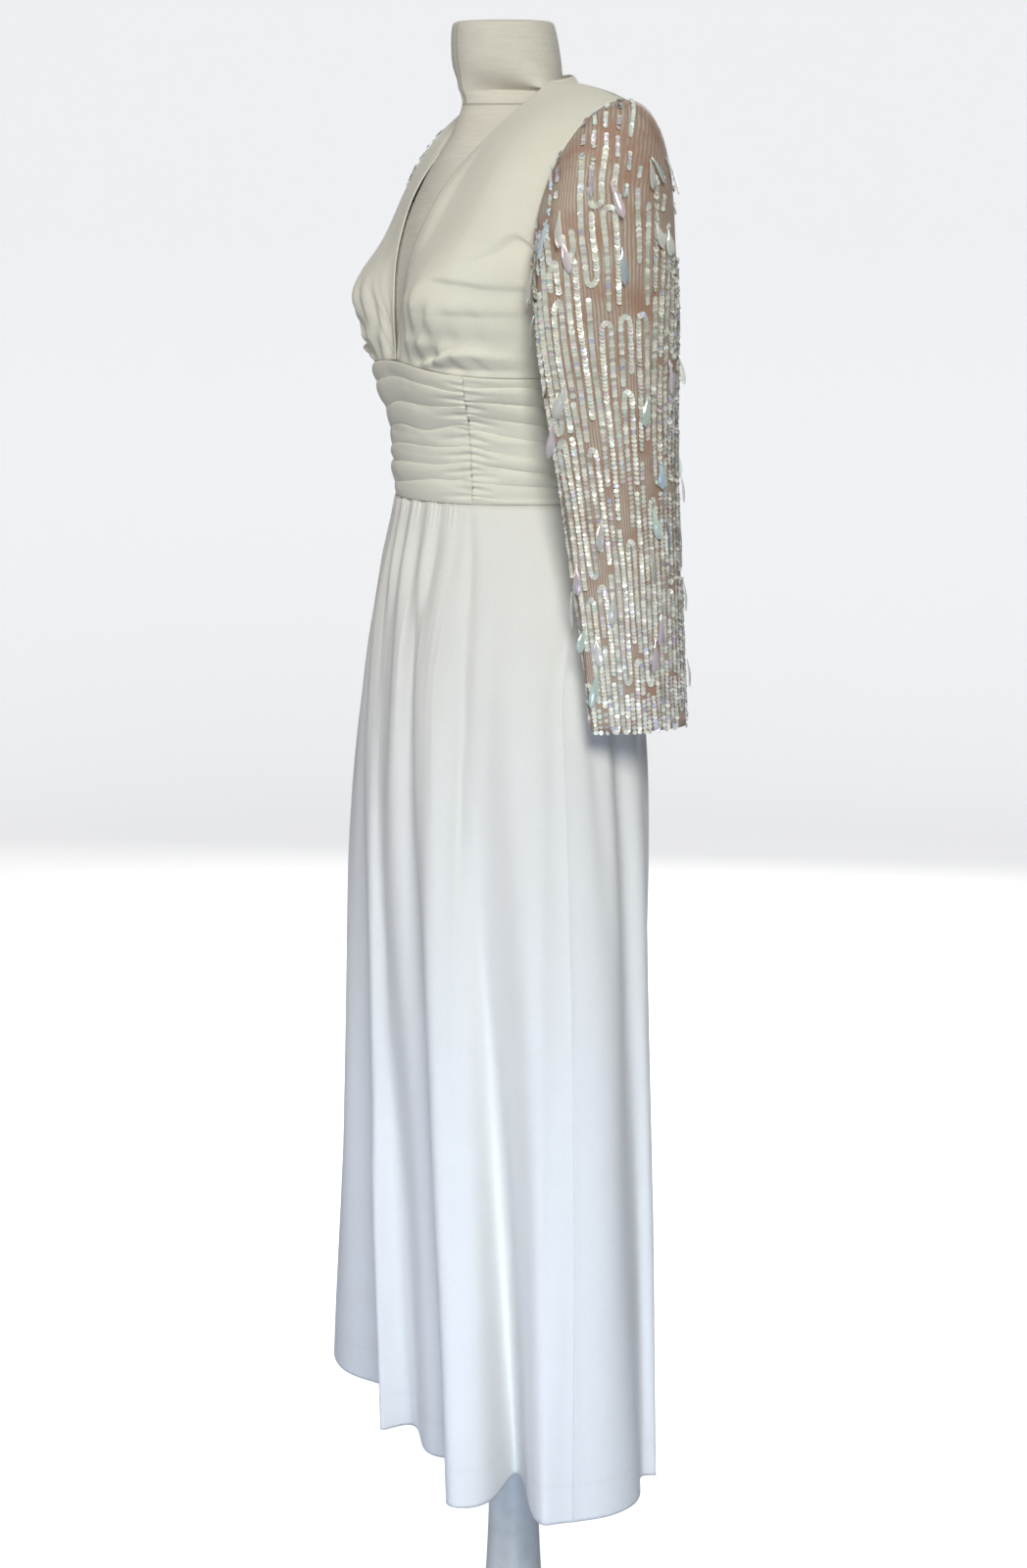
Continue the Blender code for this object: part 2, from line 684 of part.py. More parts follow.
def build_sleeves():
    net = (0.62, 0.52, 0.42)
    grid, edge_normals = sleeve_grid(2 * ARMHOLE_ROWS)
    normals = -grid_normals(grid, True)
    normals[0] = edge_normals
    cloth_wall("sleeve_left", grid, normals, net, closed=True)
    cloth_wall("sleeve_right", grid, normals, net, closed=True, mirrored=True)


def build_form():
    grid = form_grid()
    rows, sides = grid.shape[:2]
    points = [tuple(point) for point in grid.reshape(-1, 3)]
    faces = [tuple(range(sides))[::-1], tuple(range((rows - 1) * sides, rows * sides))]
    for row in range(rows - 1):
        for side in range(sides):
            beside = (side + 1) % sides
            near = row * sides + side
            far = row * sides + beside
            faces.append((near, far, far + sides, near + sides))
    make_object("form_body", points, faces, (0.55, 0.50, 0.43), 0.95)


def turned(name, outline, colour, roughness, metallic):
    """A turned piece whose outline runs from the axis at its top down to the axis."""
    mesh = bpy.data.meshes.new(name)
    points = [(radius, 0, height) for radius, height in outline]
    edges = [(index, index + 1) for index in range(len(points) - 1)]
    mesh.from_pydata(points, edges, [])
    piece = bpy.data.objects.new(name, mesh)
    bpy.data.collections[COLLECTION].objects.link(piece)
    screw = piece.modifiers.new("turn", "SCREW")
    screw.steps = POLE_SIDES
    screw.render_steps = POLE_SIDES
    screw.use_merge_vertices = True
    screw.merge_threshold = 0.0001
    screw.use_smooth_shade = True
    finish(piece, colour, roughness, metallic)
    return piece


def build_stand():
    steel = (0.45, 0.46, 0.47)
    top = FORM_BOTTOM - SEAM_GAP
    foot = BASE_THICKNESS + SEAM_GAP
    foot_radius = 0.037
    outline = [(0, top), (POLE_TOP_RADIUS, top)]
    outline += [(radius, height) for height, radius in POLE]
    outline += [(foot_radius, foot), (0, foot)]
    turned("stand_pole", outline, steel, 0.35, 1.0)
    rim = BASE_RADIUS - BASE_EDGE
    outline = [(0, BASE_THICKNESS), (rim, BASE_THICKNESS)]
    outline += [(BASE_RADIUS, BASE_THICKNESS - BASE_EDGE), (BASE_RADIUS, 0), (0, 0)]
    turned("stand_base", outline, steel, 0.4, 1.0)


def main():
    for old in list(bpy.data.objects):
        bpy.data.objects.remove(old)
    collection = bpy.data.collections.new(COLLECTION)
    bpy.context.scene.collection.children.link(collection)
    build_bodice()
    build_band()
    build_skirt()
    build_sleeves()
    build_form()
    build_stand()


main()
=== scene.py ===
"""The looks of a long jersey dress with sequin sleeves on a limbless dress form.

Metres, +Z up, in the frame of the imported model. The dress faces -Y and the wearer's left is
+X. The shapes come from the same sizes as the solids, on finer grids, with finer folds. A
place on the body is given by an angle round it, 0 at the centre front and 90 at the wearer's
left, or by side (to the wearer's left) and front (forwards).
"""
import math

import bpy
import numpy as np
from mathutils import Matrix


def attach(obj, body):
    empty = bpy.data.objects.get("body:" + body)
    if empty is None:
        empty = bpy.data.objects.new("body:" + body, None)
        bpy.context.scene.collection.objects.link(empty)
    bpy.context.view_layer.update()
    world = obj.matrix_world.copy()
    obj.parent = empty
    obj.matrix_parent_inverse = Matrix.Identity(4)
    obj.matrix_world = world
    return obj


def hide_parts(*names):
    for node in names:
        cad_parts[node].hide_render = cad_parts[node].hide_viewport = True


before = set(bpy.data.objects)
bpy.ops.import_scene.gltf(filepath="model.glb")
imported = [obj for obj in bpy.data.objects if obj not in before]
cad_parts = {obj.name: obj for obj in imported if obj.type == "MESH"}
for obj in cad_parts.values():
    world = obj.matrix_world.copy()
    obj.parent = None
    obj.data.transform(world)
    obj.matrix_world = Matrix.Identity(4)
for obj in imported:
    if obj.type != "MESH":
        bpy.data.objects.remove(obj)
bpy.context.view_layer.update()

# Air between neighbouring pieces, and the thickness of the cloth
SEAM_GAP = 0.0003
CLOTH = 0.0011

# Heights of the garment above the floor
HEM_HEIGHT = 0.273
WAIST_HEIGHT = 1.306
BAND_TOP_HEIGHT = 1.432
BAND_TOP_RISE = 0.014

# Angles of the seams, in degrees from the centre front
SIDE_SEAM = 98
RUCHE_SEAM = 47

# Stand
BASE_RADIUS = 0.170
BASE_THICKNESS = 0.014
BASE_EDGE = 0.004
FORM_BOTTOM = 1.015

# Fitted midriff: height, half width, front reach, back reach
FITTED = (
    (1.306, 0.125, 0.122, 0.086),
    (1.370, 0.127, 0.127, 0.090),
    (1.446, 0.137, 0.134, 0.098),
)

# The band stands out over the ribs, either side of its middle
RIB_FULLNESS = 0.016
RIB_LOW = 1.372
RIB_RISE = 0.060

# Skirt without its folds: height, half width, front reach, back reach
SKIRT = (
    (0.273, 0.290, 0.165, 0.112),
    (0.560, 0.262, 0.164, 0.118),
    (0.780, 0.235, 0.163, 0.123),
    (1.060, 0.190, 0.157, 0.128),
    (1.200, 0.158, 0.142, 0.112),
    (1.306, 0.125, 0.122, 0.086),
)

# Hem folds: angle at the waist where the line starts, then side and front at the hem.
# Crests and valleys follow each other round the skirt.
HEM_FOLDS = (
    (-47, -0.272, 0.116),
    (-36, -0.200, 0.126),
    (-25, -0.125, 0.084),
    (-8, -0.032, 0.149),
    (4, -0.034, 0.102),
    (14, 0.045, 0.124),
    (24, 0.080, 0.088),
    (37, 0.172, 0.153),
    (45, 0.190, 0.118),
    (60, 0.124, 0.050),
    (78, 0.238, 0.078),
    (98, 0.258, 0.045),
    (106, 0.262, 0.000),
    (113, 0.238, -0.045),
    (121, 0.182, -0.066),
    (130, 0.194, -0.087),
    (141, 0.130, -0.084),
    (152, 0.080, -0.126),
    (164, 0.036, -0.088),
    (178, -0.016, -0.142),
    (193, -0.070, -0.086),
    (207, -0.135, -0.128),
    (221, -0.152, -0.070),
    (234, -0.236, -0.078),
    (248, -0.214, -0.016),
    (262, -0.284, 0.022),
    (290, -0.224, 0.058),
)
FOLD_POWER = 1.35

# How far the side seams swing forwards below the waist, in degrees
SEAM_SWING = 15
SWING_END = 0.2

# Gathers at the front waist, between the two ruched seams
GATHER_COUNT = 8
GATHER_DEPTH = 0.0040
GATHER_END = 0.50

# Neckline edge of a front: height, side, front
NECK_EDGE = (
    (1.446, 0.000, 0.134),
    (1.503, 0.012, 0.130),
    (1.557, 0.022, 0.1205),
    (1.610, 0.034, 0.0986),
    (1.650, 0.043, 0.0700),
    (1.677, 0.050, 0.0456),
    (1.699, 0.056, 0.0206),
    (1.716, 0.060, -0.0033),
    (1.722, 0.061, -0.0120),
)

# Middle of the back neckline: side, front, height
BACK_NECK = (0.0, -0.0605, 1.731)

# Back at its centre line: height, reach
BACK_CENTRE = (
    (1.432, 0.0980),
    (1.500, 0.1050),
    (1.557, 0.1070),
    (1.610, 0.1040),
    (1.660, 0.0930),
    (1.700, 0.0780),
    (1.731, 0.0605),
)

# Shares of the back's height where it starts to take the neckline's shape, and where it has
# left that of the band
BACK_BLEND_START = 0.70
BACK_BLEND_LOW = 0.20

# Armhole, an upright oval that leans back at the top
ARMHOLE_SIDE = 0.1585
ARMHOLE_SIDE_LEAN = 0.0085
ARMHOLE_FRONT = -0.024
ARMHOLE_HALF_FRONT = 0.064
ARMHOLE_FRONT_LEAN = -0.024
ARMHOLE_HEIGHT = 1.597
ARMHOLE_HALF_HEIGHT = 0.105

# Rise of the shoulder seam's middle
SHOULDER_BOW = 0.0055

# Bust cups, the hollow of the chest above them, and the gathers below
BUST_SIDE = 0.092
BUST_HEIGHT = 1.505
BUST_DEPTH = 0.029
BUST_HALF_SIDE = 0.040
BUST_HALF_RISE = 0.034
BUST_HALF_FALL = 0.055
CHEST_HOLLOW = 0.0100
HOLLOW_SIDE = 0.075
HOLLOW_HEIGHT = 1.590
HOLLOW_HALF_SIDE = 0.032
HOLLOW_HALF_HEIGHT = 0.050
BUST_GATHERS = 6
BUST_GATHER_DEPTH = 0.0018

# Soft drag folds at the side of the bust: side, height and slope of the line through the
# fold's middle, its half length, its half width and its depth
DRAG_FOLDS = (
    (0.125, 1.470, -0.10, 0.050, 0.0075, 0.0030),
    (0.135, 1.515, -0.06, 0.030, 0.0070, 0.0024),
    (0.140, 1.560, -0.05, 0.024, 0.0070, 0.0016),
)

# Sleeve rings: side and height of the outer line, side and height of the inner line,
# front of the middle, half width from front to back, flatness (1 is an oval)
SLEEVE = (
    (0.167, 1.702, 0.150, 1.492, -0.0240, 0.0640, 1.00),
    (0.192, 1.694, 0.156, 1.478, -0.0200, 0.0690, 1.00),
    (0.214, 1.668, 0.161, 1.462, -0.0170, 0.0720, 1.05),
    (0.225, 1.624, 0.165, 1.440, -0.0150, 0.0740, 1.10),
    (0.228, 1.566, 0.168, 1.405, -0.0160, 0.0735, 1.20),
    (0.228, 1.480, 0.171, 1.360, -0.0200, 0.0700, 1.30),
    (0.228, 1.385, 0.174, 1.312, -0.0260, 0.0640, 1.35),
    (0.230, 1.275, 0.180, 1.248, -0.0330, 0.0590, 1.40),
    (0.234, 1.185, 0.190, 1.178, -0.0380, 0.0550, 1.40),
    (0.240, 1.090, 0.203, 1.090, -0.0420, 0.0520, 1.40),
)

# Dress form: height, half width, middle, front reach, back reach, then how far the neck
# and chest swell forwards and backwards, and the half width of that swell
FORM = (
    (1.015, 0.148, 0.000, 0.092, 0.102, 0.000, 0.000, 0.050),
    (1.024, 0.160, 0.000, 0.104, 0.114, 0.000, 0.000, 0.050),
    (1.100, 0.168, 0.000, 0.110, 0.119, 0.000, 0.000, 0.050),
    (1.200, 0.147, 0.000, 0.110, 0.100, 0.000, 0.000, 0.050),
    (1.306, 0.1190, 0.000, 0.1150, 0.0800, 0.000, 0.000, 0.050),
    (1.370, 0.1210, 0.000, 0.1200, 0.0840, 0.000, 0.000, 0.050),
    (1.432, 0.130, 0.000, 0.1285, 0.090, 0.000, 0.000, 0.050),
    (1.500, 0.140, 0.000, 0.1230, 0.097, 0.000, 0.000, 0.060),
    (1.557, 0.147, -0.004, 0.1130, 0.094, 0.009, 0.001, 0.090),
    (1.610, 0.151, -0.012, 0.0930, 0.080, 0.0205, 0.003, 0.060),
    (1.648, 0.154, -0.024, 0.0668, 0.052, 0.0396, 0.010, 0.060),
    (1.670, 0.155, -0.032, 0.0445, 0.030, 0.0560, 0.018, 0.048),
    (1.690, 0.153, -0.0380, 0.021, 0.012, 0.082, 0.022, 0.042),
    (1.698, 0.150, -0.0390, 0.012, 0.006, 0.093, 0.024, 0.036),
    (1.705, 0.136, -0.0350, 0.008, 0.004, 0.092, 0.024, 0.032),
    (1.7125, 0.108, -0.0260, 0.004, 0.002, 0.0885, 0.024, 0.028),
    (1.7145, 0.079, -0.0190, 0.002, 0.005, 0.082, 0.029, 0.025),
    (1.7155, 0.0556, -0.0105, 0.021, 0.031, 0.051, 0.013, 0.027),
    (1.730, 0.0575, 0.005, 0.0555, 0.0540, 0.000, 0.000, 0.045),
    (1.745, 0.0565, 0.008, 0.0565, 0.0565, 0.000, 0.000, 0.045),
    (1.776, 0.0535, 0.011, 0.0535, 0.0535, 0.000, 0.000, 0.045),
    (1.782, 0.0510, 0.011, 0.0510, 0.0510, 0.000, 0.000, 0.045),
    (1.783, 0.0470, 0.011, 0.0470, 0.0470, 0.000, 0.000, 0.045),
)

# The form's cups, and the points of a ring before it is smoothed
FORM_BUST_DEPTH = 0.026
FORM_BUST_RISE = 0.060
FORM_SIDES = 32

# Pole outline: height above the floor, radius
POLE = (
    (0.260, 0.0262),
    (0.150, 0.0285),
    (0.060, 0.0330),
)
POLE_TOP_RADIUS = 0.0240

# Fine grid of the shells
SIDE_ROWS = 34
ARMHOLE_ROWS = 140
FRONT_COLUMNS = 116
BACK_COLUMNS = 96
SKIRT_ROWS = 66
SKIRT_COLUMNS = (380, 220)
BAND_COLUMNS = (150, 220)
SLEEVE_ROWS = 120
SLEEVE_SIDES = 150

# How far an edge that is seamed rolls in, row by row, and the painted shade along it
SEAM_ROLL = (0.0004, 0.0001)
SEAM_PAINTED_SHADE = (0.95, 0.94, 0.92)

# From the wearer's left to the right, and the level part of a place
FLIP = np.array([-1, 1, 1])
LEVEL = np.array([1, 1, 0])

# Gathers that fan up from the foot of the neckline: direction from level, half width in
# degrees, depth
FAN_FOOT = (0.004, 1.436)
FAN = (
    (48, 2.0, 0.0018),
    (56, 1.7, 0.0028),
    (63, 1.5, 0.0037),
    (69, 1.4, 0.0030),
    (75, 1.3, 0.0040),
    (80, 1.1, 0.0030),
    (85, 1.0, 0.0025),
)
FAN_REACH = 0.125

# How far the neckline's edge settles back on to the form, by height
NECK_TURN = (
    (1.446, 0.0036),
    (1.500, 0.0024),
    (1.556, 0.0013),
    (1.590, 0.0018),
    (1.612, 0.0016),
    (1.648, 0.0030),
    (1.667, 0.0052),
    (1.700, 0.0050),
    (1.722, 0.0000),
)

# Longer folds of the fan: depth, half width, side and height of the top and of the foot
LONG_FOLDS = (
    (0.0025, 0.0034, (0.064, 1.5400), (0.027, 1.4510)),
    (0.0028, 0.0036, (0.085, 1.5400), (0.047, 1.4496)),
    (0.0048, 0.0042, (0.108, 1.5200), (0.059, 1.4500)),
    (0.0028, 0.0030, (0.110, 1.4780), (0.083, 1.4500)),
    (0.0022, 0.0075, (0.1015, 1.5300), (0.1035, 1.4880)),
)

# Hollow under the cup: side, height, half side, half height, depth
UNDER_BUST = (0.085, 1.478, 0.038, 0.014, 0.0060)

# Creases across the side of the bust: depth, half width above and below the line, and the
# line as side and height
BUST_CREASES = (
    (0.0054, 0.0030, 0.0110, ((0.1200, 1.5420), (0.1346, 1.5546), (0.1431, 1.5670),
                              (0.1580, 1.5500))),
    (0.0064, 0.0034, 0.0130, ((0.0960, 1.5270), (0.1266, 1.5216), (0.1358, 1.5185),
                              (0.1620, 1.5166))),
    (0.0044, 0.0036, 0.0100, ((0.1130, 1.4940), (0.1370, 1.4928), (0.1600, 1.4922))),
    (0.0070, 0.0110, 0.0028, ((0.0600, 1.4470), (0.0920, 1.4542), (0.1126, 1.4618),
                              (0.1236, 1.4638), (0.1355, 1.4592), (0.1560, 1.4520))),
    (-0.0048, 0.0034, 0.0044, ((0.0600, 1.4425), (0.0920, 1.4490), (0.1126, 1.4545),
                               (0.1236, 1.4555), (0.1355, 1.4515), (0.1560, 1.4465))),
    (0.0040, 0.0026, 0.0050, ((0.0850, 1.4440), (0.0965, 1.4420), (0.1256, 1.4399),
                              (0.1480, 1.4400))),
)

# Slight drag lines across the back: height at the centre, slope, half width, depth
BACK_CREASES = (
    (1.470, 0.10, 0.0042, 0.0016),
    (1.515, 0.22, 0.0050, 0.0013),
    (1.620, -0.10, 0.0060, 0.0012),
)

# Grooves between the band's folds: an angle, then their levels from 0 at the lower edge of the
# band to 1 at its upper
BAND_FRONT = (
    (-47, 0.070, 0.250, 0.360, 0.520, 0.690, 0.850),
    (-23, 0.090, 0.260, 0.370, 0.500, 0.650, 0.860),
    (5, 0.128, 0.270, 0.410, 0.550, 0.714, 0.887),
    (25, 0.170, 0.280, 0.416, 0.535, 0.725, 0.885),
    (36, 0.180, 0.302, 0.430, 0.585, 0.742, 0.876),
    (47, 0.200, 0.336, 0.460, 0.630, 0.766, 0.860),
)
BAND_BACK = (
    (47, 0.070, 0.170, 0.330, 0.455, 0.590, 0.710, 0.810, 0.900),
    (62, 0.040, 0.160, 0.290, 0.400, 0.545, 0.670, 0.800, 0.930),
    (85, 0.050, 0.140, 0.240, 0.360, 0.490, 0.620, 0.770, 0.920),
    (130, 0.070, 0.170, 0.270, 0.380, 0.500, 0.610, 0.750, 0.890),
    (180, 0.060, 0.150, 0.290, 0.410, 0.520, 0.640, 0.770, 0.880),
    (230, 0.060, 0.180, 0.260, 0.390, 0.510, 0.620, 0.760, 0.900),
    (275, 0.050, 0.150, 0.250, 0.370, 0.500, 0.630, 0.770, 0.910),
    (298, 0.040, 0.160, 0.300, 0.410, 0.550, 0.660, 0.810, 0.920),
    (313, 0.060, 0.180, 0.340, 0.470, 0.600, 0.720, 0.820, 0.900),
)

# Rows of the grid in each fold, and the depth of a fold that takes up this share of the band
FOLD_STEPS = 18
FOLD_DEPTH = 0.0024
FOLD_HEIGHT = 0.16

# Short tucks that run in from the band's seams: level at the seam and at the other end, reach
# in degrees, depth
FRONT_TUCKS = (
    (0.060, 0.045, 21, 0.0042),
    (0.110, 0.140, 16, 0.0022),
    (0.255, 0.225, 19, 0.0032),
    (0.385, 0.350, 22, 0.0029),
    (0.525, 0.480, 17, 0.0026),
    (0.570, 0.600, 12, 0.0019),
    (0.695, 0.650, 22, 0.0035),
    (0.815, 0.800, 19, 0.0029),
    (0.930, 0.940, 13, 0.0019),
)
BACK_TUCKS = (
    (0.120, 0.100, 14, 0.0026),
    (0.225, 0.215, 17, 0.0029),
    (0.275, 0.250, 9, 0.0019),
    (0.390, 0.345, 16, 0.0029),
    (0.520, 0.470, 15, 0.0026),
    (0.650, 0.610, 18, 0.0032),
    (0.760, 0.740, 12, 0.0026),
    (0.860, 0.865, 15, 0.0022),
    (0.950, 0.965, 11, 0.0019),
)
TUCK_HALF = 0.011

# Dents in the band's folds, the loops of gathered cloth beside its seams, and the seams' groove
DENT_DEPTH = 0.0018
LOOP_COUNT = 24
LOOP_DEPTH = 0.0018
LOOP_REACH = 6.0
SEAM_WIDTH = 0.7
SEAM_DEPTH = 0.0004

# Folds of the skirt, ridges and then valleys: depth, half width in degrees, and the line as
# drops and angles
SKIRT_FOLDS = (
    (0.0036, 3.8, ((0.05, 13), (0.18, 14.5), (0.30, 12), (0.49, 6), (0.70, -4), (0.95, -8))),
    (0.0016, 3.0, ((0.05, 24), (0.11, 27), (0.18, 31), (0.30, 30), (0.42, 28))),
    (0.0026, 3.2, ((0.18, 45), (0.30, 43), (0.46, 38.5), (0.90, 31))),
    (0.0032, 3.4, ((0.01, 51), (0.08, 57), (0.18, 62.5), (0.30, 59.5), (0.46, 53.5), (0.66, 50),
                   (0.92, 49))),
    (0.0020, 2.2, ((0.16, 114), (0.30, 114.5), (0.46, 114.5))),
    (0.0030, 5.0, ((0.22, 128), (0.49, 132), (0.70, 129), (0.95, 124))),
    (0.0034, 3.8, ((0.05, -11), (0.20, -15), (0.45, -19), (0.70, -16), (0.95, -22))),
    (0.0028, 3.2, ((0.05, -24), (0.12, -30), (0.30, -34), (0.50, -33))),
    (0.0032, 3.2, ((0.05, -37), (0.15, -48), (0.32, -45), (0.50, -40), (0.92, -36))),
    (0.0028, 3.8, ((0.24, -65), (0.46, -57), (0.92, -53))),
    (0.0028, 5.0, ((0.20, -124), (0.50, -129), (0.95, -122))),
    (0.0030, 6.0, ((0.12, 158), (0.50, 162), (0.95, 156))),
    (0.0030, 6.0, ((0.15, -163), (0.55, -159), (0.95, -166))),
    (-0.0028, 3.4, ((0.10, -3), (0.19, -5), (0.50, -1.5), (0.75, -12))),
    (-0.0032, 3.6, ((0.09, 22), (0.18, 25), (0.30, 22), (0.48, 17.5), (0.70, 13), (0.95, 10))),
    (-0.0046, 2.3, ((0.01, 45.5), (0.08, 50), (0.18, 56), (0.30, 52.5), (0.46, 47), (0.66, 42.5),
                    (0.92, 42))),
    (-0.0018, 5.0, ((0.28, 77), (0.46, 75), (0.85, 72))),
    (-0.0026, 2.6, ((0.12, 95), (0.20, 94.5), (0.46, 92.5), (0.65, 90), (0.95, 86))),
    (-0.0028, 2.2, ((0.13, 107), (0.27, 108.5), (0.40, 110), (0.50, 111))),
    (-0.0040, 3.0, ((0.20, 120), (0.46, 119), (0.66, 115), (0.97, 113))),
    (-0.0028, 3.4, ((0.10, -29), (0.30, -25), (0.60, -27), (0.95, -30))),
    (-0.0036, 2.9, ((0.05, -51), (0.18, -58), (0.32, -54), (0.50, -48), (0.92, -44))),
    (-0.0026, 2.6, ((0.14, -96), (0.46, -94), (0.95, -89))),
    (-0.0036, 3.2, ((0.22, -110), (0.50, -117), (0.97, -112))),
    (-0.0026, 5.0, ((0.14, 146), (0.50, 149), (0.90, 144))),
    (-0.0028, 5.0, ((0.10, 180), (0.50, 183), (0.95, 178))),
    (-0.0026, 5.0, ((0.16, -146), (0.55, -143), (0.92, -148))),
)

# The hem's folds are rounded by a blend of the lines at these angles to each side
HEM_BLUR = np.linspace(-6, 6, 9)

# Turned hem, and where its stitching lies as a drop
HEM_TURN = 0.040
HEM_LINE = 1 - HEM_TURN / (WAIST_HEIGHT - HEM_HEIGHT)
HEM_BAND = 0.006
HEM_GROOVE = 0.00025
# Painted shade in the groove of the hem's stitching
HEM_SHADE = 0.025

# The side seams' soft ridge, and the slow unevenness of the skirt
SIDE_RIDGE = 0.0008
SIDE_RIDGE_HALF = 0.8
SKIRT_WAVER = 0.0012

# Fine pleats under the band, and the drops between which the gathers' shape comes loose
PLEAT_WAVES = 150
PLEAT_DEPTH = 0.0007
PLEAT_END = 0.030
LOOSE_START = 0.05
LOOSE_END = 0.15

# Rows of sequins on a sleeve: their columns, the radius and sides of a sequin, its share of a
# column's room, and the step from one to the next
STRIP_COLUMNS = 42
SEQUIN_RADIUS = (0.0026, 0.0031)
SEQUIN_SIDES = 7
SEQUIN_SHARE = 0.37
SEQUIN_STEP = 0.0023

# Runs of sequins: length, gap above, where the first ones start and the least room for one. A
# run turns back in the next column unless that column is this far ahead or filled up.
STRIP_LENGTH = (0.045, 0.140)
STRIP_GAP = (0.004, 0.009)
STRIP_START = (0.000, 0.018)
STRIP_SHORTEST = 0.012
STRIP_LEAD = 0.030
STRIP_BESIDE = 0.016

# How uneven the second leg of a run is and its least length, and how a run sways
STRIP_UNEVEN = 0.025
STRIP_PARTNER = 0.020
STRIP_SWAY = 0.07
STRIP_SWAY_WAVES = 70

# Where the dense rows start below the shoulder, and how many runs glint above them
DENSE_START = (0.120, 0.215)
SPARSE_SHARE = 0.46

# How far a sequin stands off the net and is dished, the tilt of its lower edge and its spread,
# its sideways lean, its unevenness, and the size of those that glint above the dense rows
SEQUIN_LIFT = 0.0017
SEQUIN_DISH = 0.0005
SEQUIN_TILT = (0.33, 0.22)
SEQUIN_LEAN = 0.18
SEQUIN_UNEVEN = (0.92, 1.06)
GLINT_SIZE = 0.75

# Long drops: a narrow top that widens to a round foot, a little bowed and hollow
DROP_COUNT = 56
DROP_LENGTH = (0.026, 0.040)
DROP_WIDTH = 0.0086
DROP_ROWS = 11
DROP_COLUMNS = 5
DROP_LIFT = 0.0042
DROP_BOW = 0.0016
DROP_DISH = 0.0010
DROP_TOP = 0.22
DROP_WIDEST = 0.62
DROP_ROUND = 0.32

# Where drops hang down the sleeve, and how they swing, stand off and twist
DROP_SPAN = (0.20, 0.76)
DROP_SWING = 0.16
DROP_OFF = (0.02, 0.11)
DROP_TWIST = 0.35

# The paler top of a sleeve, and the slow unevenness of its net
SLEEVE_TOP_TINT = 1.45
SLEEVE_TOP = 0.012
SLEEVE_WAVER = 0.0016

# Tints of the sequins and of the drops, each with its share, and how light or dark one can be
TINT_RANGE = (0.82, 1.10)
SEQUIN_TINTS = (
    (0.74, (0.88, 0.85, 0.72)),
    (0.14, (0.93, 0.92, 0.86)),
    (0.05, (0.84, 0.70, 0.70)),
    (0.04, (0.70, 0.80, 0.68)),
    (0.02, (0.72, 0.70, 0.84)),
)
DROP_TINTS = (
    (0.22, (0.90, 0.76, 0.80)),
    (0.18, (0.74, 0.88, 0.76)),
    (0.08, (0.80, 0.76, 0.92)),
    (0.12, (0.72, 0.86, 0.93)),
    (0.42, (0.90, 0.88, 0.80)),
)

# Threads of the textures, by the scale of their waves
WALES = 235.0
COURSES = 310.0
NET_UPRIGHTS = 80.0
NET_CROSS = 260.0
LINEN_WEFT = 200.0
LINEN_WARP = 190.0

# Colours of the cloths and metals, light and dark
BODICE_WHITE = ((0.80, 0.78, 0.675), (0.765, 0.74, 0.63))
SKIRT_WHITE = ((0.815, 0.80, 0.745), (0.785, 0.77, 0.71))
NET_NUDE = ((0.54, 0.44, 0.35, 1), (0.34, 0.255, 0.195, 1))
NET_SHADOW = (0.38, 0.235, 0.165, 1)
LINEN = ((0.74, 0.70, 0.61, 1), (0.66, 0.62, 0.53, 1))
LINEN_GAPS = (0.62, 0.585, 0.505, 1)
LINEN_PALE = (0.84, 0.80, 0.71, 1)
LINEN_SEAM = (0.20, 0.18, 0.15, 1)
STEEL = (0.93, 0.93, 0.84)
BASE_PAINT = (0.42, 0.43, 0.44)
FLOOR_TONES = ((0.90, 0.90, 0.895, 1), (0.93, 0.93, 0.93, 1))
FLOOR_BOUNCE = (0.28, 0.30, 0.36, 1)

# Seams of the form's cover with their half widths, and the turned pieces of the stand
FORM_SEAM_HEIGHT = 1.7005
FORM_SEAM_SIDE = 0.004
FORM_SEAM_HALF = 0.0011
NECK_SEAM_HALF = 0.0010
LATHE_SIDES = 96
POLE_ROWS = 12
POLE_FOOT_RADIUS = 0.037
BASE_HOLE_RADIUS = 0.040

# Sheets of cloth other than the sleeves: how each is held, what it rests on, and how many times
# the width that shows is cut for its gathers
SHEETS = {
    "bodice_front_left": ("draped", ["form_cover"], 1.06),
    "bodice_front_right": ("draped", ["form_cover"], 1.06),
    "bodice_back": ("draped", ["form_cover"], 1.0),
    "midriff_front": ("gathered", ["form_cover"], 1.25),
    "midriff_back": ("gathered", ["form_cover"], 1.2),
    "skirt_front": ("hung", ["midriff_front_cloth"], 1.05),
    "skirt_back": ("hung", ["midriff_back_cloth"], 1.0),
}

# Camera: where it stands, how far it looks down, its lens and the width of its sensor
CAMERA_TURN = 67
CAMERA_DISTANCE = 3.07
CAMERA_HEIGHT = 1.61
CAMERA_FALL = math.atan(0.2)
LENS = 67.5
SENSOR = 36

# Soft lights: name, angle round the dress, distance, height, height aimed at, width, height of
# the panel, power, spread in degrees, colour
LIGHTS = (
    ("key", 73, 3.3, 2.8, 1.40, 1.1, 1.1, 91, 180, (0.99, 1.0, 0.96)),
    ("low", 66, 2.8, 0.60, 0.36, 1.4, 0.6, 3.7, 44, (0.52, 0.67, 1.0)),
    ("front", -15, 3.4, 1.7, 1.4, 1.4, 0.8, 2.2, 50, (1.0, 0.95, 0.86)),
    ("side", -8, 3.0, 0.45, 0.32, 1.0, 0.6, 1.1, 40, (0.70, 0.76, 1.0)),
    ("back", 240, 3.4, 2.2, 1.1, 2.0, 2.0, 105, 180, (1.0, 0.98, 0.95)),
)

# Light from all round: its colour and strength, and the strength that the camera sees
WORLD = ((1.0, 0.985, 0.955), 0.33)
BACKDROP = 1.0

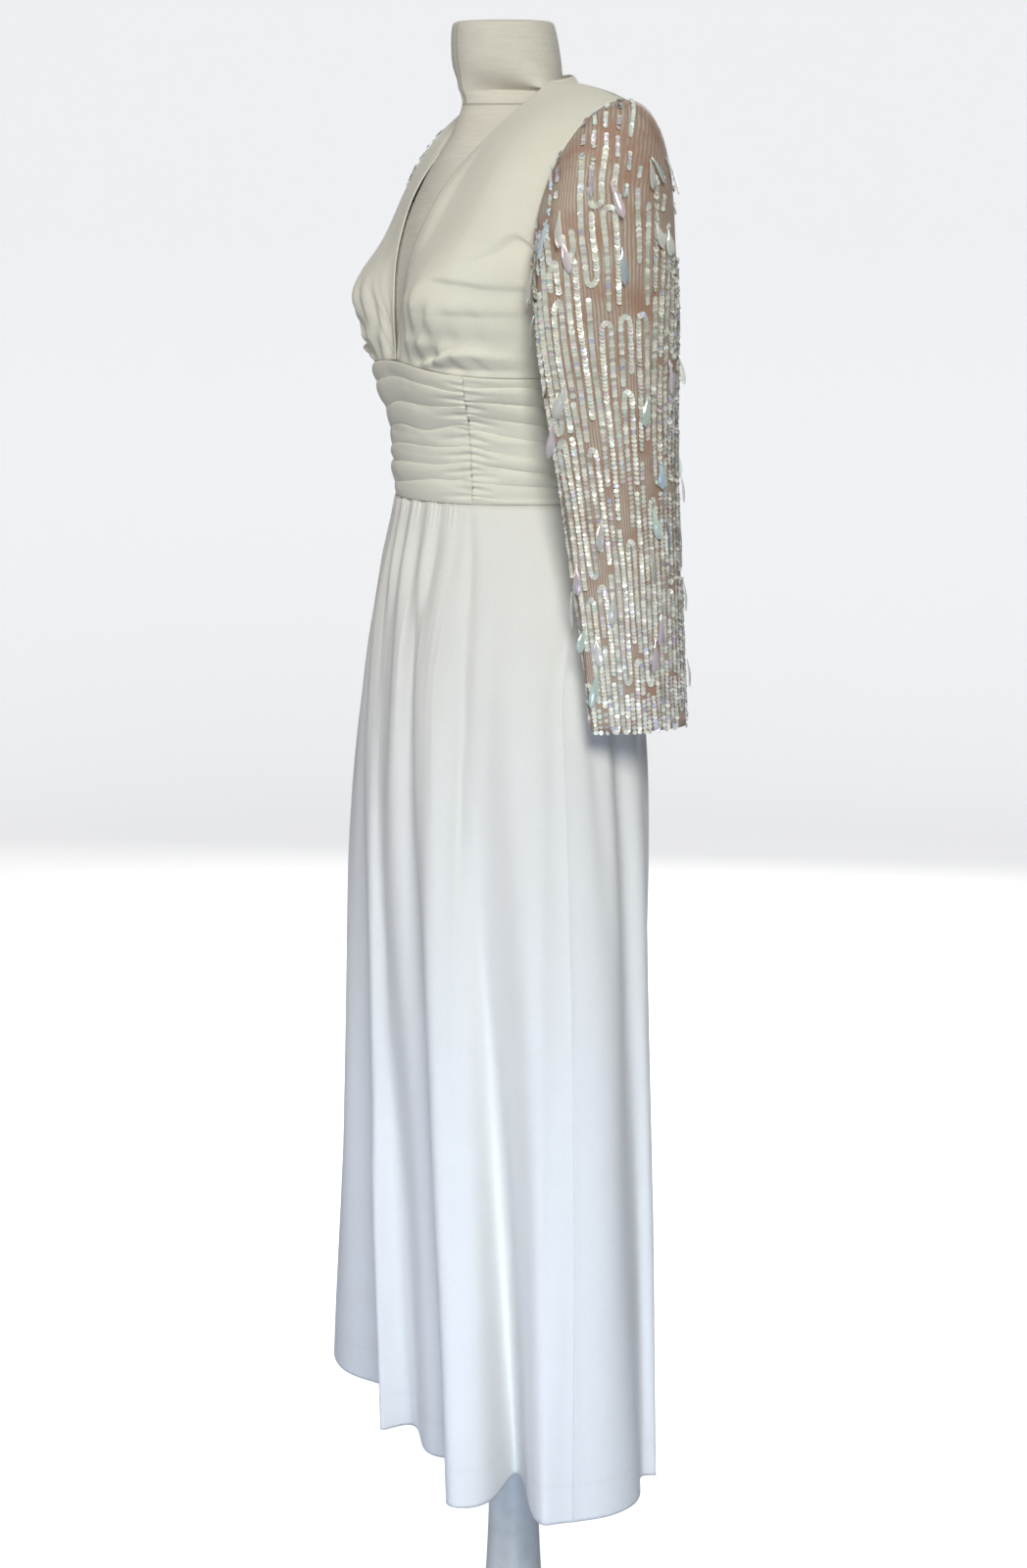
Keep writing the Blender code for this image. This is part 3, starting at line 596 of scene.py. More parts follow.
# Sweep round the stand: where its floor ends, the radius of its bend, the height of its edge,
# and how far it lies below the base
FLOOR_REACH = 4.5
FLOOR_BEND = 1.5
FLOOR_TOP = 7.0
FLOOR_DROP = 0.0002


def table_at(table, key):
    """The later columns of a table at a value of its first column, on a smooth curve."""
    rows = np.array(sorted(table))
    knots = rows[:, 0]
    values = rows[:, 1:]
    slopes = np.gradient(values, knots, axis=0)
    key = np.clip(np.atleast_1d(key), knots[0], knots[-1])
    low = np.clip(np.searchsorted(knots, key) - 1, 0, len(knots) - 2)
    span = (knots[low + 1] - knots[low])[:, None]
    part = (key[:, None] - knots[low][:, None]) / span
    start = (1 + 2 * part) * (1 - part) ** 2 * values[low]
    start += part * (1 - part) ** 2 * span * slopes[low]
    end = part ** 2 * (3 - 2 * part) * values[low + 1]
    end += part ** 2 * (part - 1) * span * slopes[low + 1]
    return (start + end).T


def ease(value):
    """A smooth step from 0 to 1."""
    value = np.clip(value, 0, 1)
    return value * value * (3 - 2 * value)


def bell(offset, half_width):
    """A smooth bump, 1 at no offset."""
    return np.exp(-0.5 * (offset / half_width) ** 2)


def place(side, front, height):
    """Points from side, front and height."""
    side, front, height = np.broadcast_arrays(side, front, height)
    return np.stack([side, -front, height], axis=-1)


def outward(angle):
    """Level directions out from the body at angles in degrees."""
    turn = np.radians(angle)
    return place(np.sin(turn), np.cos(turn), np.zeros_like(turn))


def oval(angle, half_width, front, back):
    """Side and front on a section whose front and back halves have their own reach."""
    turn = np.radians(angle)
    reach = np.where(np.cos(turn) > 0, front, back)
    return half_width * np.sin(turn), reach * np.cos(turn)


def band_top(angle):
    """Height of the midriff band's upper edge, which rises to the centre front."""
    rise = np.clip(np.cos(np.radians(angle)), 0, 1) ** 4
    return BAND_TOP_HEIGHT + BAND_TOP_RISE * rise


def fitted(angle, height):
    """A point on the fitted midriff."""
    half_width, front, back = table_at(FITTED, height)
    side, forward = oval(angle, half_width, front, back)
    turn = np.radians(angle)
    ribs = RIB_FULLNESS * ease((height - RIB_LOW) / RIB_RISE)
    ribs = ribs * np.where(np.cos(turn) > 0, np.sin(2 * turn) ** 2, 0)
    return place(side + ribs * np.sin(turn), forward + ribs * np.cos(turn), height)


def hem_outline(angle):
    """Side and front of the hem where the line from a waist angle ends."""
    rows = []
    for turn in (-360, 0, 360):
        rows += [(start + turn, side, front) for start, side, front in HEM_FOLDS]
    return table_at(rows, angle)


def gathers(angle, drop):
    """Small gathers under the front of the band, which fade into the long folds."""
    inside = ease((RUCHE_SEAM - np.abs(angle)) / 8)
    turns = GATHER_COUNT * (angle + RUCHE_SEAM) / (2 * RUCHE_SEAM)
    uneven = 0.35 * np.sin(np.radians(7.3 * angle))
    grow = 0.45 + 0.55 * ease(drop / 0.07)
    fade = 1 - ease(drop / GATHER_END)
    return GATHER_DEPTH * inside * grow * fade * np.cos(2 * math.pi * turns + uneven)


def skirt_grid(angles, drops):
    """Points of the skirt for rows that drop from 0 at the waist to 1 at the hem."""
    hem_width, hem_front, hem_back = table_at(SKIRT, HEM_HEIGHT)
    swing = SEAM_SWING * np.sin(np.radians(angles))
    plain_side, plain_front = oval(angles - swing, hem_width, hem_front, hem_back)
    fold_side, fold_front = hem_outline(angles)
    grid = []
    for drop in drops:
        height = WAIST_HEIGHT - drop * (WAIST_HEIGHT - HEM_HEIGHT)
        half_width, front, back = table_at(SKIRT, height)
        swung = angles - swing * ease(drop / SWING_END)
        side, forward = oval(swung, half_width, front, back)
        share = drop ** FOLD_POWER
        side = side + share * (fold_side - plain_side)
        forward = forward + share * (fold_front - plain_front)
        out = gathers(angles, drop)[:, None]
        grid.append(place(side, forward, height) + out * outward(angles))
    return np.array(grid)


def armhole(angle):
    """A point on the left armhole: 0 at the shoulder tip, 90 at the front, 180 below."""
    turn = np.radians(angle)
    side = ARMHOLE_SIDE + ARMHOLE_SIDE_LEAN * np.cos(turn)
    front = ARMHOLE_FRONT + ARMHOLE_HALF_FRONT * np.sin(turn)
    front = front + ARMHOLE_FRONT_LEAN * np.cos(turn)
    height = ARMHOLE_HEIGHT + ARMHOLE_HALF_HEIGHT * np.cos(turn)
    return place(side, front, height)


def patch(bottom, top, left, right):
    """A surface stretched between four edges that meet at their corners."""
    across = np.linspace(0, 1, len(bottom))[None, :, None]
    up = np.linspace(0, 1, len(left))[:, None, None]
    ruled_up = (1 - up) * bottom[None] + up * top[None]
    ruled_across = (1 - across) * left[:, None] + across * right[:, None]
    low = (1 - across) * bottom[0] + across * bottom[-1]
    high = (1 - across) * top[0] + across * top[-1]
    return ruled_up + ruled_across - (1 - up) * low - up * high


def side_edge(way):
    """The side seam and then the armhole; way is 1 for a front and -1 for the back."""
    foot = fitted(np.array([SIDE_SEAM]), np.array([BAND_TOP_HEIGHT]))[0]
    underarm = armhole(np.array([180]))[0]
    steps = np.linspace(0, 1, SIDE_ROWS + 1)[:-1, None]
    seam = (1 - steps) * foot + steps * underarm
    turns = way * np.linspace(180, 0, ARMHOLE_ROWS + 1)
    return np.concatenate([seam, armhole(turns)])


def bust(side, height, depth):
    """How far a cup stands forwards at a place on the chest."""
    across = bell(np.abs(side) - BUST_SIDE, BUST_HALF_SIDE)
    half = np.where(height > BUST_HEIGHT, BUST_HALF_RISE, BUST_HALF_FALL)
    return depth * across * bell(height - BUST_HEIGHT, half)


def hollow(side, height):
    """How far the chest falls back between the neckline and the armhole."""
    across = bell(np.abs(side) - HOLLOW_SIDE, HOLLOW_HALF_SIDE)
    return CHEST_HOLLOW * across * bell(height - HOLLOW_HEIGHT, HOLLOW_HALF_HEIGHT)


def drag_folds(side, height):
    """Depth of the soft folds that the sleeve drags across the side of the bust."""
    depth = np.zeros_like(side)
    for middle, level, slope, half_length, half_width, deep in DRAG_FOLDS:
        along = np.exp(-0.5 * ((side - middle) / half_length) ** 4)
        offset = height - level - slope * (side - middle)
        depth += deep * along * bell(offset, half_width)
    return depth


def shoulder_line(parts):
    """Points on the left shoulder seam, from the neck out to the armhole."""
    height, side, front = NECK_EDGE[-1]
    neck = place(side, front, height)
    tip = armhole(np.array([0]))[0]
    line = neck + parts[:, None] * (tip - neck)
    line[:, 2] += SHOULDER_BOW * np.sin(math.pi * parts)
    return line


def bodice_front_grid(columns):
    """Points of the left front, its neckline first in each row."""
    angles = np.linspace(0, SIDE_SEAM, columns + 1)
    bottom = fitted(angles, band_top(angles))
    right = side_edge(1)
    rows = len(right)
    heights = np.linspace(NECK_EDGE[0][0], NECK_EDGE[-1][0], rows)
    neck_side, neck_front = table_at(NECK_EDGE, heights)
    left = place(neck_side, neck_front, heights)
    top = shoulder_line(np.linspace(0, 1, columns + 1))
    grid = patch(bottom, top, left, right)
    across = np.linspace(0, 1, columns + 1)[None, :]
    up = np.linspace(0, 1, rows)[:, None]
    inside = ease(across / 0.16) * ease((1 - across) / 0.12)
    cup = bust(grid[..., 0], grid[..., 2], BUST_DEPTH) * inside * ease(up / 0.10)
    cup = cup - hollow(grid[..., 0], grid[..., 2]) * inside * ease((0.97 - up) / 0.3)
    near_band = ease(up / 0.03) * (1 - ease(up / 0.42)) * (1 - ease((across - 0.5) / 0.2))
    fold = np.cos(2 * math.pi * BUST_GATHERS * across / 0.6) * ease(across / 0.06)
    cup = cup + BUST_GATHER_DEPTH * near_band * fold
    drag = drag_folds(grid[..., 0], grid[..., 2])
    cup = cup - drag * ease((1 - across) / 0.08) * ease(up / 0.06)
    grid[..., 1] -= cup
    grid[..., 0] += 0.15 * cup
    return grid


def bodice_back_grid(columns):
    """Points of the back, from the wearer's left to right, with the back neckline."""
    angles = np.linspace(SIDE_SEAM, 360 - SIDE_SEAM, columns + 1)
    bottom = fitted(angles, band_top(angles))
    left = side_edge(-1)
    third = columns // 3
    shoulder = shoulder_line(np.linspace(1, 0, third + 1))
    neck = shoulder[-1]
    turns = np.linspace(0, math.pi / 2, third // 2 + 1)[1:, None]
    nape = np.array([0, -BACK_NECK[1], BACK_NECK[2]])
    curve = nape + (neck - nape) * np.array([1, 0, 0]) * np.cos(turns)
    curve = curve + (neck - nape) * np.array([0, 1, 1]) * (1 - np.sin(turns))
    half = np.concatenate([shoulder, curve])
    top = np.concatenate([half, half[:-1][::-1] * FLIP])
    up = np.linspace(0, 1, len(left))
    heights = bottom[columns // 2, 2] + up * (nape[2] - bottom[columns // 2, 2])
    centre = place(0, -table_at(BACK_CENTRE, heights)[0], heights)
    turn = np.linspace(-math.pi / 2, math.pi / 2, columns + 1)[None, :, None]
    edge = np.where(turn < 0, left[:, None], (left * FLIP)[:, None])
    level = np.array([0, 1, 1])
    sweep = edge + (centre[:, None] - edge) * level * np.cos(turn)
    sweep[..., 0] = left[:, None, 0] * -np.sin(turn[..., 0])
    share = ease((up - BACK_BLEND_START) / (1 - BACK_BLEND_START))[:, None, None]
    low = ease(up / BACK_BLEND_LOW)[:, None, None]
    grid = (1 - share) * sweep + share * top[None]
    return grid + (1 - low) * (bottom - sweep[0])[None]


def form_grid():
    """Rings of the dress form from its underside to the top of its neck."""
    angles = np.linspace(0, 360, FORM_SIDES + 1)[:-1]
    turn = np.radians(angles)
    grid = []
    for height, half_width, middle, front, back, swell_front, swell_back, width in FORM:
        side = half_width * np.sin(turn)
        reach = np.where(np.cos(turn) > 0, front, back)
        swell = np.where(np.cos(turn) > 0, swell_front, swell_back)
        reach = reach + swell * bell(side, width)
        forward = middle + reach * np.cos(turn)
        chest = bust(side, np.full_like(side, height), FORM_BUST_DEPTH)
        chest = chest * ease((height - BAND_TOP_HEIGHT) / FORM_BUST_RISE)
        forward = forward + np.where(np.cos(turn) > 0, chest, 0) * ease(np.cos(turn) * 3)
        grid.append(place(side, forward, height))
    return np.array(grid)


def unit(vectors):
    """The vectors at a length of 1."""
    return vectors / np.linalg.norm(vectors, axis=-1, keepdims=True)


def grid_normals(grid, closed):
    """Outward directions at the points of a grid whose rows run up."""
    if closed:
        across = np.roll(grid, -1, axis=1) - np.roll(grid, 1, axis=1)
    else:
        across = np.gradient(grid, axis=1)
    up = np.gradient(grid, axis=0)
    normals = np.cross(across, up)
    return unit(normals)


def level_normals(grid):
    """Outward directions of an open grid, away from the body's middle."""
    normals = grid_normals(grid, False)
    return -normals if np.sum(normals * grid * LEVEL) < 0 else normals


def flattened(vectors, normals):
    """The part of each vector that lies across its normal."""
    return vectors - normals * np.sum(vectors * normals, axis=1, keepdims=True)


def link(tree, source, socket):
    tree.links.new(source, socket)


def add_node(tree, kind, inputs=None, **settings):
    """A shader node with its settings, and its inputs by name or number."""
    made = tree.nodes.new(kind)
    for key, value in settings.items():
        setattr(made, key, value)
    for key, value in (inputs or {}).items():
        if isinstance(value, bpy.types.NodeSocket):
            tree.links.new(value, made.inputs[key])
        else:
            made.inputs[key].default_value = value
    return made


def new_material(name, **values):
    """A material, its node tree and its Principled shader with plain values set."""
    material = bpy.data.materials.new(name)
    material.use_nodes = True
    tree = material.node_tree
    shader = tree.nodes["Principled BSDF"]
    for key, value in values.items():
        shader.inputs[key.replace("_", " ")].default_value = value
    return material, tree, shader


def scaled_noise(tree, where, scale, detail=3.0, roughness=0.55):
    """Uneven values from 0 to 1 over a surface."""
    settings = {"Vector": where, "Scale": scale, "Detail": detail, "Roughness": roughness}
    return add_node(tree, "ShaderNodeTexNoise", settings).outputs["Fac"]


def blend_colours(tree, share, first, second, mode="MIX"):
    """Two colours mixed or multiplied by a share."""
    made = add_node(tree, "ShaderNodeMix", {0: share, 6: first, 7: second},
                    data_type="RGBA", blend_type=mode)
    return made.outputs[2]


def threads(tree, where, direction, scale, distortion, detail=2.0, detail_scale=1.0):
    """Parallel threads, side by side in the named direction."""
    settings = {"Vector": where, "Scale": scale, "Distortion": distortion, "Detail": detail,
                "Detail Scale": detail_scale}
    return add_node(tree, "ShaderNodeTexWave", settings,
                    bands_direction=direction).outputs["Fac"]


def surface_place(tree):
    """Where a point is, in metres."""
    return add_node(tree, "ShaderNodeTexCoord").outputs["Object"]


def painted_colour(tree, layer):
    """The colour that was painted point by point."""
    return add_node(tree, "ShaderNodeVertexColor", layer_name=layer).outputs["Color"]


def ramp(tree, value, low, high):
    """Spreads the values between low and high to 0 and 1."""
    settings = {"Value": value, "From Min": low, "From Max": high}
    return add_node(tree, "ShaderNodeMapRange", settings).outputs["Result"]


def calc(tree, operation, first, second=0.0):
    """One sum, product or comparison of two values."""
    made = add_node(tree, "ShaderNodeMath", {0: first, 1: second}, operation=operation)
    return made.outputs[0]


def bumps(tree, shader, layers):
    """Stacks bump layers of (height, distance in metres, strength)."""
    normal = None
    for height, distance, strength in layers:
        inputs = {"Height": height, "Distance": distance, "Strength": strength}
        if normal is not None:
            inputs["Normal"] = normal
        normal = add_node(tree, "ShaderNodeBump", inputs).outputs["Normal"]
    link(tree, normal, shader.inputs["Normal"])


def jersey_material(name, light, dark):
    """Fine matt rayon jersey: wales down the cloth, a soft sheen and slight mottling."""
    material, tree, shader = new_material(
        name, Roughness=0.72, Sheen_Weight=0.22, Sheen_Roughness=0.45)
    place_on = add_node(tree, "ShaderNodeUVMap", uv_map="cloth").outputs["UV"]
    where = surface_place(tree)
    wales = threads(tree, place_on, "X", WALES, 0.6, 1.0, 0.3)
    courses = threads(tree, place_on, "Y", COURSES, 0.4)
    mottle = scaled_noise(tree, where, 26.0, 4.0)
    fuzz = scaled_noise(tree, where, 620.0, 2.0)
    colour = blend_colours(tree, ramp(tree, mottle, 0.1, 0.9), (*dark, 1), (*light, 1))
    grain = blend_colours(tree, ramp(tree, fuzz, 0.3, 0.7), (0.955, 0.95, 0.94, 1), (1, 1, 1, 1))
    colour = blend_colours(tree, 1.0, colour, grain, "MULTIPLY")
    # Multiplied by the painted shade along seamed edges and in the hem's stitched groove
    colour = blend_colours(tree, 1.0, colour, painted_colour(tree, "shade"), "MULTIPLY")
    link(tree, colour, shader.inputs["Base Color"])
    bumps(tree, shader, (
        (mottle, 0.0004, 0.30),
        (wales, 0.00016, 0.35),
        (courses, 0.00010, 0.25),
        (fuzz, 0.00014, 0.35),
    ))
    return material


def net_material():
    """Nude net over a nude lining, with fine upright threads."""
    material, tree, shader = new_material(
        "nude_net", Roughness=0.62, Sheen_Weight=0.15, Sheen_Roughness=0.4)
    place_on = add_node(tree, "ShaderNodeUVMap", uv_map="cloth").outputs["UV"]
    where = surface_place(tree)
    upright = threads(tree, place_on, "X", NET_UPRIGHTS, 2.6, 2.0, 0.6)
    cross = threads(tree, place_on, "Y", NET_CROSS, 0.8)
    patchy = scaled_noise(tree, where, 34.0, 3.0)
    colour = blend_colours(tree, upright, NET_NUDE[1], NET_NUDE[0])
    colour = blend_colours(tree, ramp(tree, patchy, 0.4, 0.65), colour, NET_SHADOW)
    colour = blend_colours(tree, 1.0, colour, painted_colour(tree, "shade"), "MULTIPLY")
    link(tree, colour, shader.inputs["Base Color"])
    bumps(tree, shader, ((upright, 0.0004, 0.5), (cross, 0.0002, 0.4)))
    return material


def sequin_material(name, roughness, metallic, film, alpha):
    """Pearly plastic whose tint is painted piece by piece."""
    material, tree, shader = new_material(
        name, Roughness=roughness, Metallic=metallic, Coat_Weight=0.25, Coat_Roughness=0.12,
        Thin_Film_Thickness=film, Thin_Film_IOR=1.45, Alpha=alpha)
    tint = painted_colour(tree, "tint")
    where = surface_place(tree)
    cloud = scaled_noise(tree, where, 260.0, 2.0)
    shift = blend_colours(tree, ramp(tree, cloud, 0.35, 0.7), (1, 1, 1, 1), (0.86, 0.93, 0.98, 1))
    link(tree, blend_colours(tree, 1.0, tint, shift, "MULTIPLY"), shader.inputs["Base Color"])
    bumps(tree, shader, ((cloud, 0.0004, 0.3),))
    return material


def linen_material():
    """Greige linen over a hard form, with slubs, and the seams of its cover."""
    material, tree, shader = new_material(
        "form_linen", Roughness=0.86, Sheen_Weight=0.1, Sheen_Roughness=0.6)
    where = surface_place(tree)
    weft = threads(tree, where, "Z", LINEN_WEFT, 1.5, 2.0, 0.4)
    warp = threads(tree, where, "X", LINEN_WARP, 1.5, 2.0, 0.4)
    weave = calc(tree, "MULTIPLY", calc(tree, "ADD", weft, warp), 0.5)
    stretched = add_node(tree, "ShaderNodeMapping", {"Vector": where, "Scale": (1.0, 1.0, 9.0)})
    slub = scaled_noise(tree, stretched.outputs["Vector"], 42.0, 4.0)
    stain = scaled_noise(tree, where, 9.0, 3.0)
    colour = blend_colours(tree, ramp(tree, slub, 0.3, 0.7), LINEN[1], LINEN[0])
    colour = blend_colours(tree, calc(tree, "MULTIPLY", weave, 0.35), colour, LINEN_GAPS)
    colour = blend_colours(tree, calc(tree, "MULTIPLY", ramp(tree, stain, 0.5, 0.75), 0.5),
                           colour, LINEN_PALE)
    apart = add_node(tree, "ShaderNodeSeparateXYZ", {"Vector": where}).outputs
    beside = calc(tree, "ABSOLUTE", calc(tree, "SUBTRACT", apart["X"], FORM_SEAM_SIDE))
    upright = calc(tree, "MULTIPLY", calc(tree, "LESS_THAN", beside, FORM_SEAM_HALF),
                   calc(tree, "LESS_THAN", apart["Y"], -0.01))
    upright = calc(tree, "MULTIPLY", upright,
                   calc(tree, "GREATER_THAN", apart["Z"], FORM_SEAM_HEIGHT))
    above = calc(tree, "ABSOLUTE", calc(tree, "SUBTRACT", apart["Z"], FORM_SEAM_HEIGHT))
    round_neck = calc(tree, "LESS_THAN", above, NECK_SEAM_HALF)
    seam = calc(tree, "MAXIMUM", upright, round_neck)
    colour = blend_colours(tree, calc(tree, "MULTIPLY", seam, 0.45), colour, LINEN_SEAM)
    link(tree, colour, shader.inputs["Base Color"])
    bumps(tree, shader, ((seam, -0.0012, 0.8), (weave, 0.0005, 0.5), (slub, 0.0006, 0.4)))
    return material


def metal_material(name, colour, roughness):
    """Brushed metal, drawn lengthways, with a few dull patches."""
    material, tree, shader = new_material(name, Metallic=0.4)
    where = surface_place(tree)
    drawn = add_node(tree, "ShaderNodeMapping", {"Vector": where, "Scale": (1.0, 1.0, 0.04)})
    streaks = scaled_noise(tree, drawn.outputs["Vector"], 900.0, 3.0)
    worn = scaled_noise(tree, where, 16.0, 5.0)
    dark = tuple(0.72 * part for part in colour)
    mixed = blend_colours(tree, ramp(tree, worn, 0.35, 0.7), (*colour, 1), (*dark, 1))
    link(tree, mixed, shader.inputs["Base Color"])
    rough = add_node(tree, "ShaderNodeMapRange", {
        "Value": streaks, "To Min": roughness - 0.08, "To Max": roughness + 0.14})
    link(tree, rough.outputs["Result"], shader.inputs["Roughness"])
    bumps(tree, shader, ((streaks, 0.0002, 0.4),))
    return material


def add_object(name, data):
    """A new object in the scene."""
    made = bpy.data.objects.new(name, data)
    bpy.context.scene.collection.objects.link(made)
    return made


def smooth_mesh(name, points, faces, material):
    """A smoothly shaded mesh in the scene."""
    mesh = bpy.data.meshes.new(name)
    mesh.from_pydata(points.reshape(-1, 3).tolist(), [], faces)
    mesh.materials.append(material)
    mesh.shade_smooth()
    return add_object(name, mesh)


def make_mesh(name, points, faces, material):
    """A mesh that rides on the part's one body."""
    piece = smooth_mesh(name, points, faces, material)
    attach(piece, "root")
    return piece


def paint_points(piece, layer, colours):
    """Stores a colour for each point of a piece."""
    paint = np.ones((len(colours), 4))
    paint[:, :3] = colours
    attribute = piece.data.color_attributes.new(layer, "FLOAT_COLOR", "POINT")
    attribute.data.foreach_set("color", paint.ravel())


def grid_faces(rows, columns, closed):
    """Quads of a grid as point numbers, and the grid column and row of each corner."""
    row, column = np.meshgrid(np.arange(rows - 1), np.arange(columns if closed else columns - 1),
                              indexing="ij")
    row = row.ravel()
    column = column.ravel()
    corner_rows = np.stack([row, row, row + 1, row + 1], axis=1)
    corner_columns = np.stack([column, column + 1, column + 1, column], axis=1)
    return corner_rows * columns + corner_columns % columns, corner_rows, corner_columns


def shell(name, grid, material, shade, closed=False):
    """A thin shell of cloth on a grid, with its length and width as a map in metres."""
    rows, columns = grid.shape[:2]
    faces, corner_rows, corner_columns = grid_faces(rows, columns, closed)
    points = grid.reshape(-1, 3)
    first = points[faces[:, 1]] - points[faces[:, 0]]
    second = points[faces[:, 3]] - points[faces[:, 0]]
    away = points[faces].mean(axis=1) * LEVEL
    if closed:
        centre = np.repeat(grid.mean(axis=1), columns, axis=0)[:len(faces)]
        away = points[faces].mean(axis=1) - centre
    if np.sum(np.cross(first, second) * away) < 0:
        faces = faces[:, ::-1]
        corner_rows = corner_rows[:, ::-1]
        corner_columns = corner_columns[:, ::-1]
    piece = make_mesh(name, points, faces.tolist(), material)
    across = np.roll(grid, -1, axis=1) - grid if closed else np.diff(grid, axis=1)
    wide = np.linalg.norm(across, axis=2).sum(axis=1).mean()
    long = np.linalg.norm(np.diff(grid, axis=0), axis=2).sum(axis=0).mean()
    steps = columns if closed else columns - 1
    spots = np.stack([corner_columns / steps * wide, corner_rows / (rows - 1) * long], axis=2)
    piece.data.uv_layers.new(name="cloth").data.foreach_set("uv", spots.ravel())
    paint_points(piece, "shade", shade.reshape(-1, 3))
    wall = piece.modifiers.new("thickness", "SOLIDIFY")
    wall.thickness = CLOTH
    wall.offset = -1
    return piece


def cloth_piece(name, grid, material, shade, closed=False):
    """The shell that takes the place of a solid of cloth, and its grid."""
    piece = shell(name + "_cloth", grid, material, shade, closed)
    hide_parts(name)
    return piece, grid


def cut_size(grid, closed=False):
    """The widest row and the longest column of a grid, and its area, laid flat."""
    ring = np.concatenate([grid, grid[:, :1]], axis=1) if closed else grid
    across = np.diff(ring, axis=1)
    up = np.diff(grid, axis=0)
    wide = np.linalg.norm(across, axis=2).sum(axis=1).max()
    long = np.linalg.norm(up, axis=2).sum(axis=0).max()
    climb = np.diff(ring, axis=0)
    area = np.linalg.norm(np.cross(across[:-1], climb[:, :-1]), axis=2).sum()
    return wide, long, area


def declare(grid, closed=False, take_up=1.0):
    """Works out the cut of a piece: its mesh laid flat, and the length that gathers take up. The
    result is not kept or used.
    """
    wide, long, area = cut_size(grid, closed)
    wide = wide * take_up
    area = min(area * take_up, wide * long)


def spread(count, near=(0.0012, 0.0030, 0.0060)):
    """Steps from 0 to 1, with extra ones beside both ends for the seams."""
    near = np.array(near)
    middle = np.linspace(near[-1] * 1.7, 1 - near[-1] * 1.7, count)
    return np.concatenate([[0.0], near, middle, 1 - near[::-1], [1.0]])


def roll_edges(grid, rows=(), columns=()):
    """Rolls the named edges in a little, as where a panel turns into its seam."""
    normals = level_normals(grid)
    for step, depth in enumerate(SEAM_ROLL):
        for edge in rows:
            line = edge + step if edge == 0 else edge - step
            grid[line] -= depth * normals[line]
        for edge in columns:
            line = edge + step if edge == 0 else edge - step
            grid[:, line] -= depth * normals[:, line]
    return grid


def waver(seed, *terms):
    """A smooth uneven value near 0 from a few long waves over each term."""
    total = 0
    for index, term in enumerate(terms):
        for wave in (1.0, 2.3, 4.1):
            phase = seed * 1.7 + index * 2.9 + wave
            total = total + np.sin(term * wave + phase) / (wave * len(terms) * 1.6)
    return total


def crease(side, height, line):
    """Depth of one crease on a line of places, which dies out at both ends."""
    deep, above, below, places = line
    along = (side - places[0][0]) / (places[-1][0] - places[0][0])
    off = height - table_at(places, side.ravel())[0].reshape(side.shape)
    fade = ease((along + 0.12) / 0.4) * ease((1.12 - along) / 0.4)
    return deep * fade * bell(off, np.where(off > 0, above, below))


def fan_creases(side, height):
    """Gathers that fan up over the cup from the foot of the neckline."""
    turn = np.degrees(np.arctan2(height - FAN_FOOT[1], side - FAN_FOOT[0]))
    reach = np.hypot(height - FAN_FOOT[1], side - FAN_FOOT[0])
    depth = np.zeros_like(side)
    for index, (direction, half_width, deep) in enumerate(FAN):
        end = FAN_REACH * (0.75 + 0.25 * math.sin(index * 2.4))
        fade = ease((reach - 0.004) / 0.014) * (1 - ease((reach - 0.25 * end) / (0.75 * end)))
        bend = direction + 5 * np.sin(reach * 22 + index)
        depth += deep * fade * bell(turn - bend, half_width)
    for deep, half_width, top, foot in LONG_FOLDS:
        along = (height - foot[1]) / (top[1] - foot[1])
        middle = foot[0] + (top[0] - foot[0]) * np.clip(along, 0, 1) ** 0.85
        fade = ease((along + 0.02) / 0.6) * ease((1.02 - along) / 0.6)
        depth += deep * fade * bell(side - middle, half_width)
    return depth


def edge_shade(shape, rows=(), columns=()):
    """Painted shade, slightly darker, along the named seamed edges."""
    shade = np.ones((*shape, 3))
    for edge in rows:
        shade[edge] = SEAM_PAINTED_SHADE
    for edge in columns:
        shade[:, edge] = SEAM_PAINTED_SHADE
    return shade


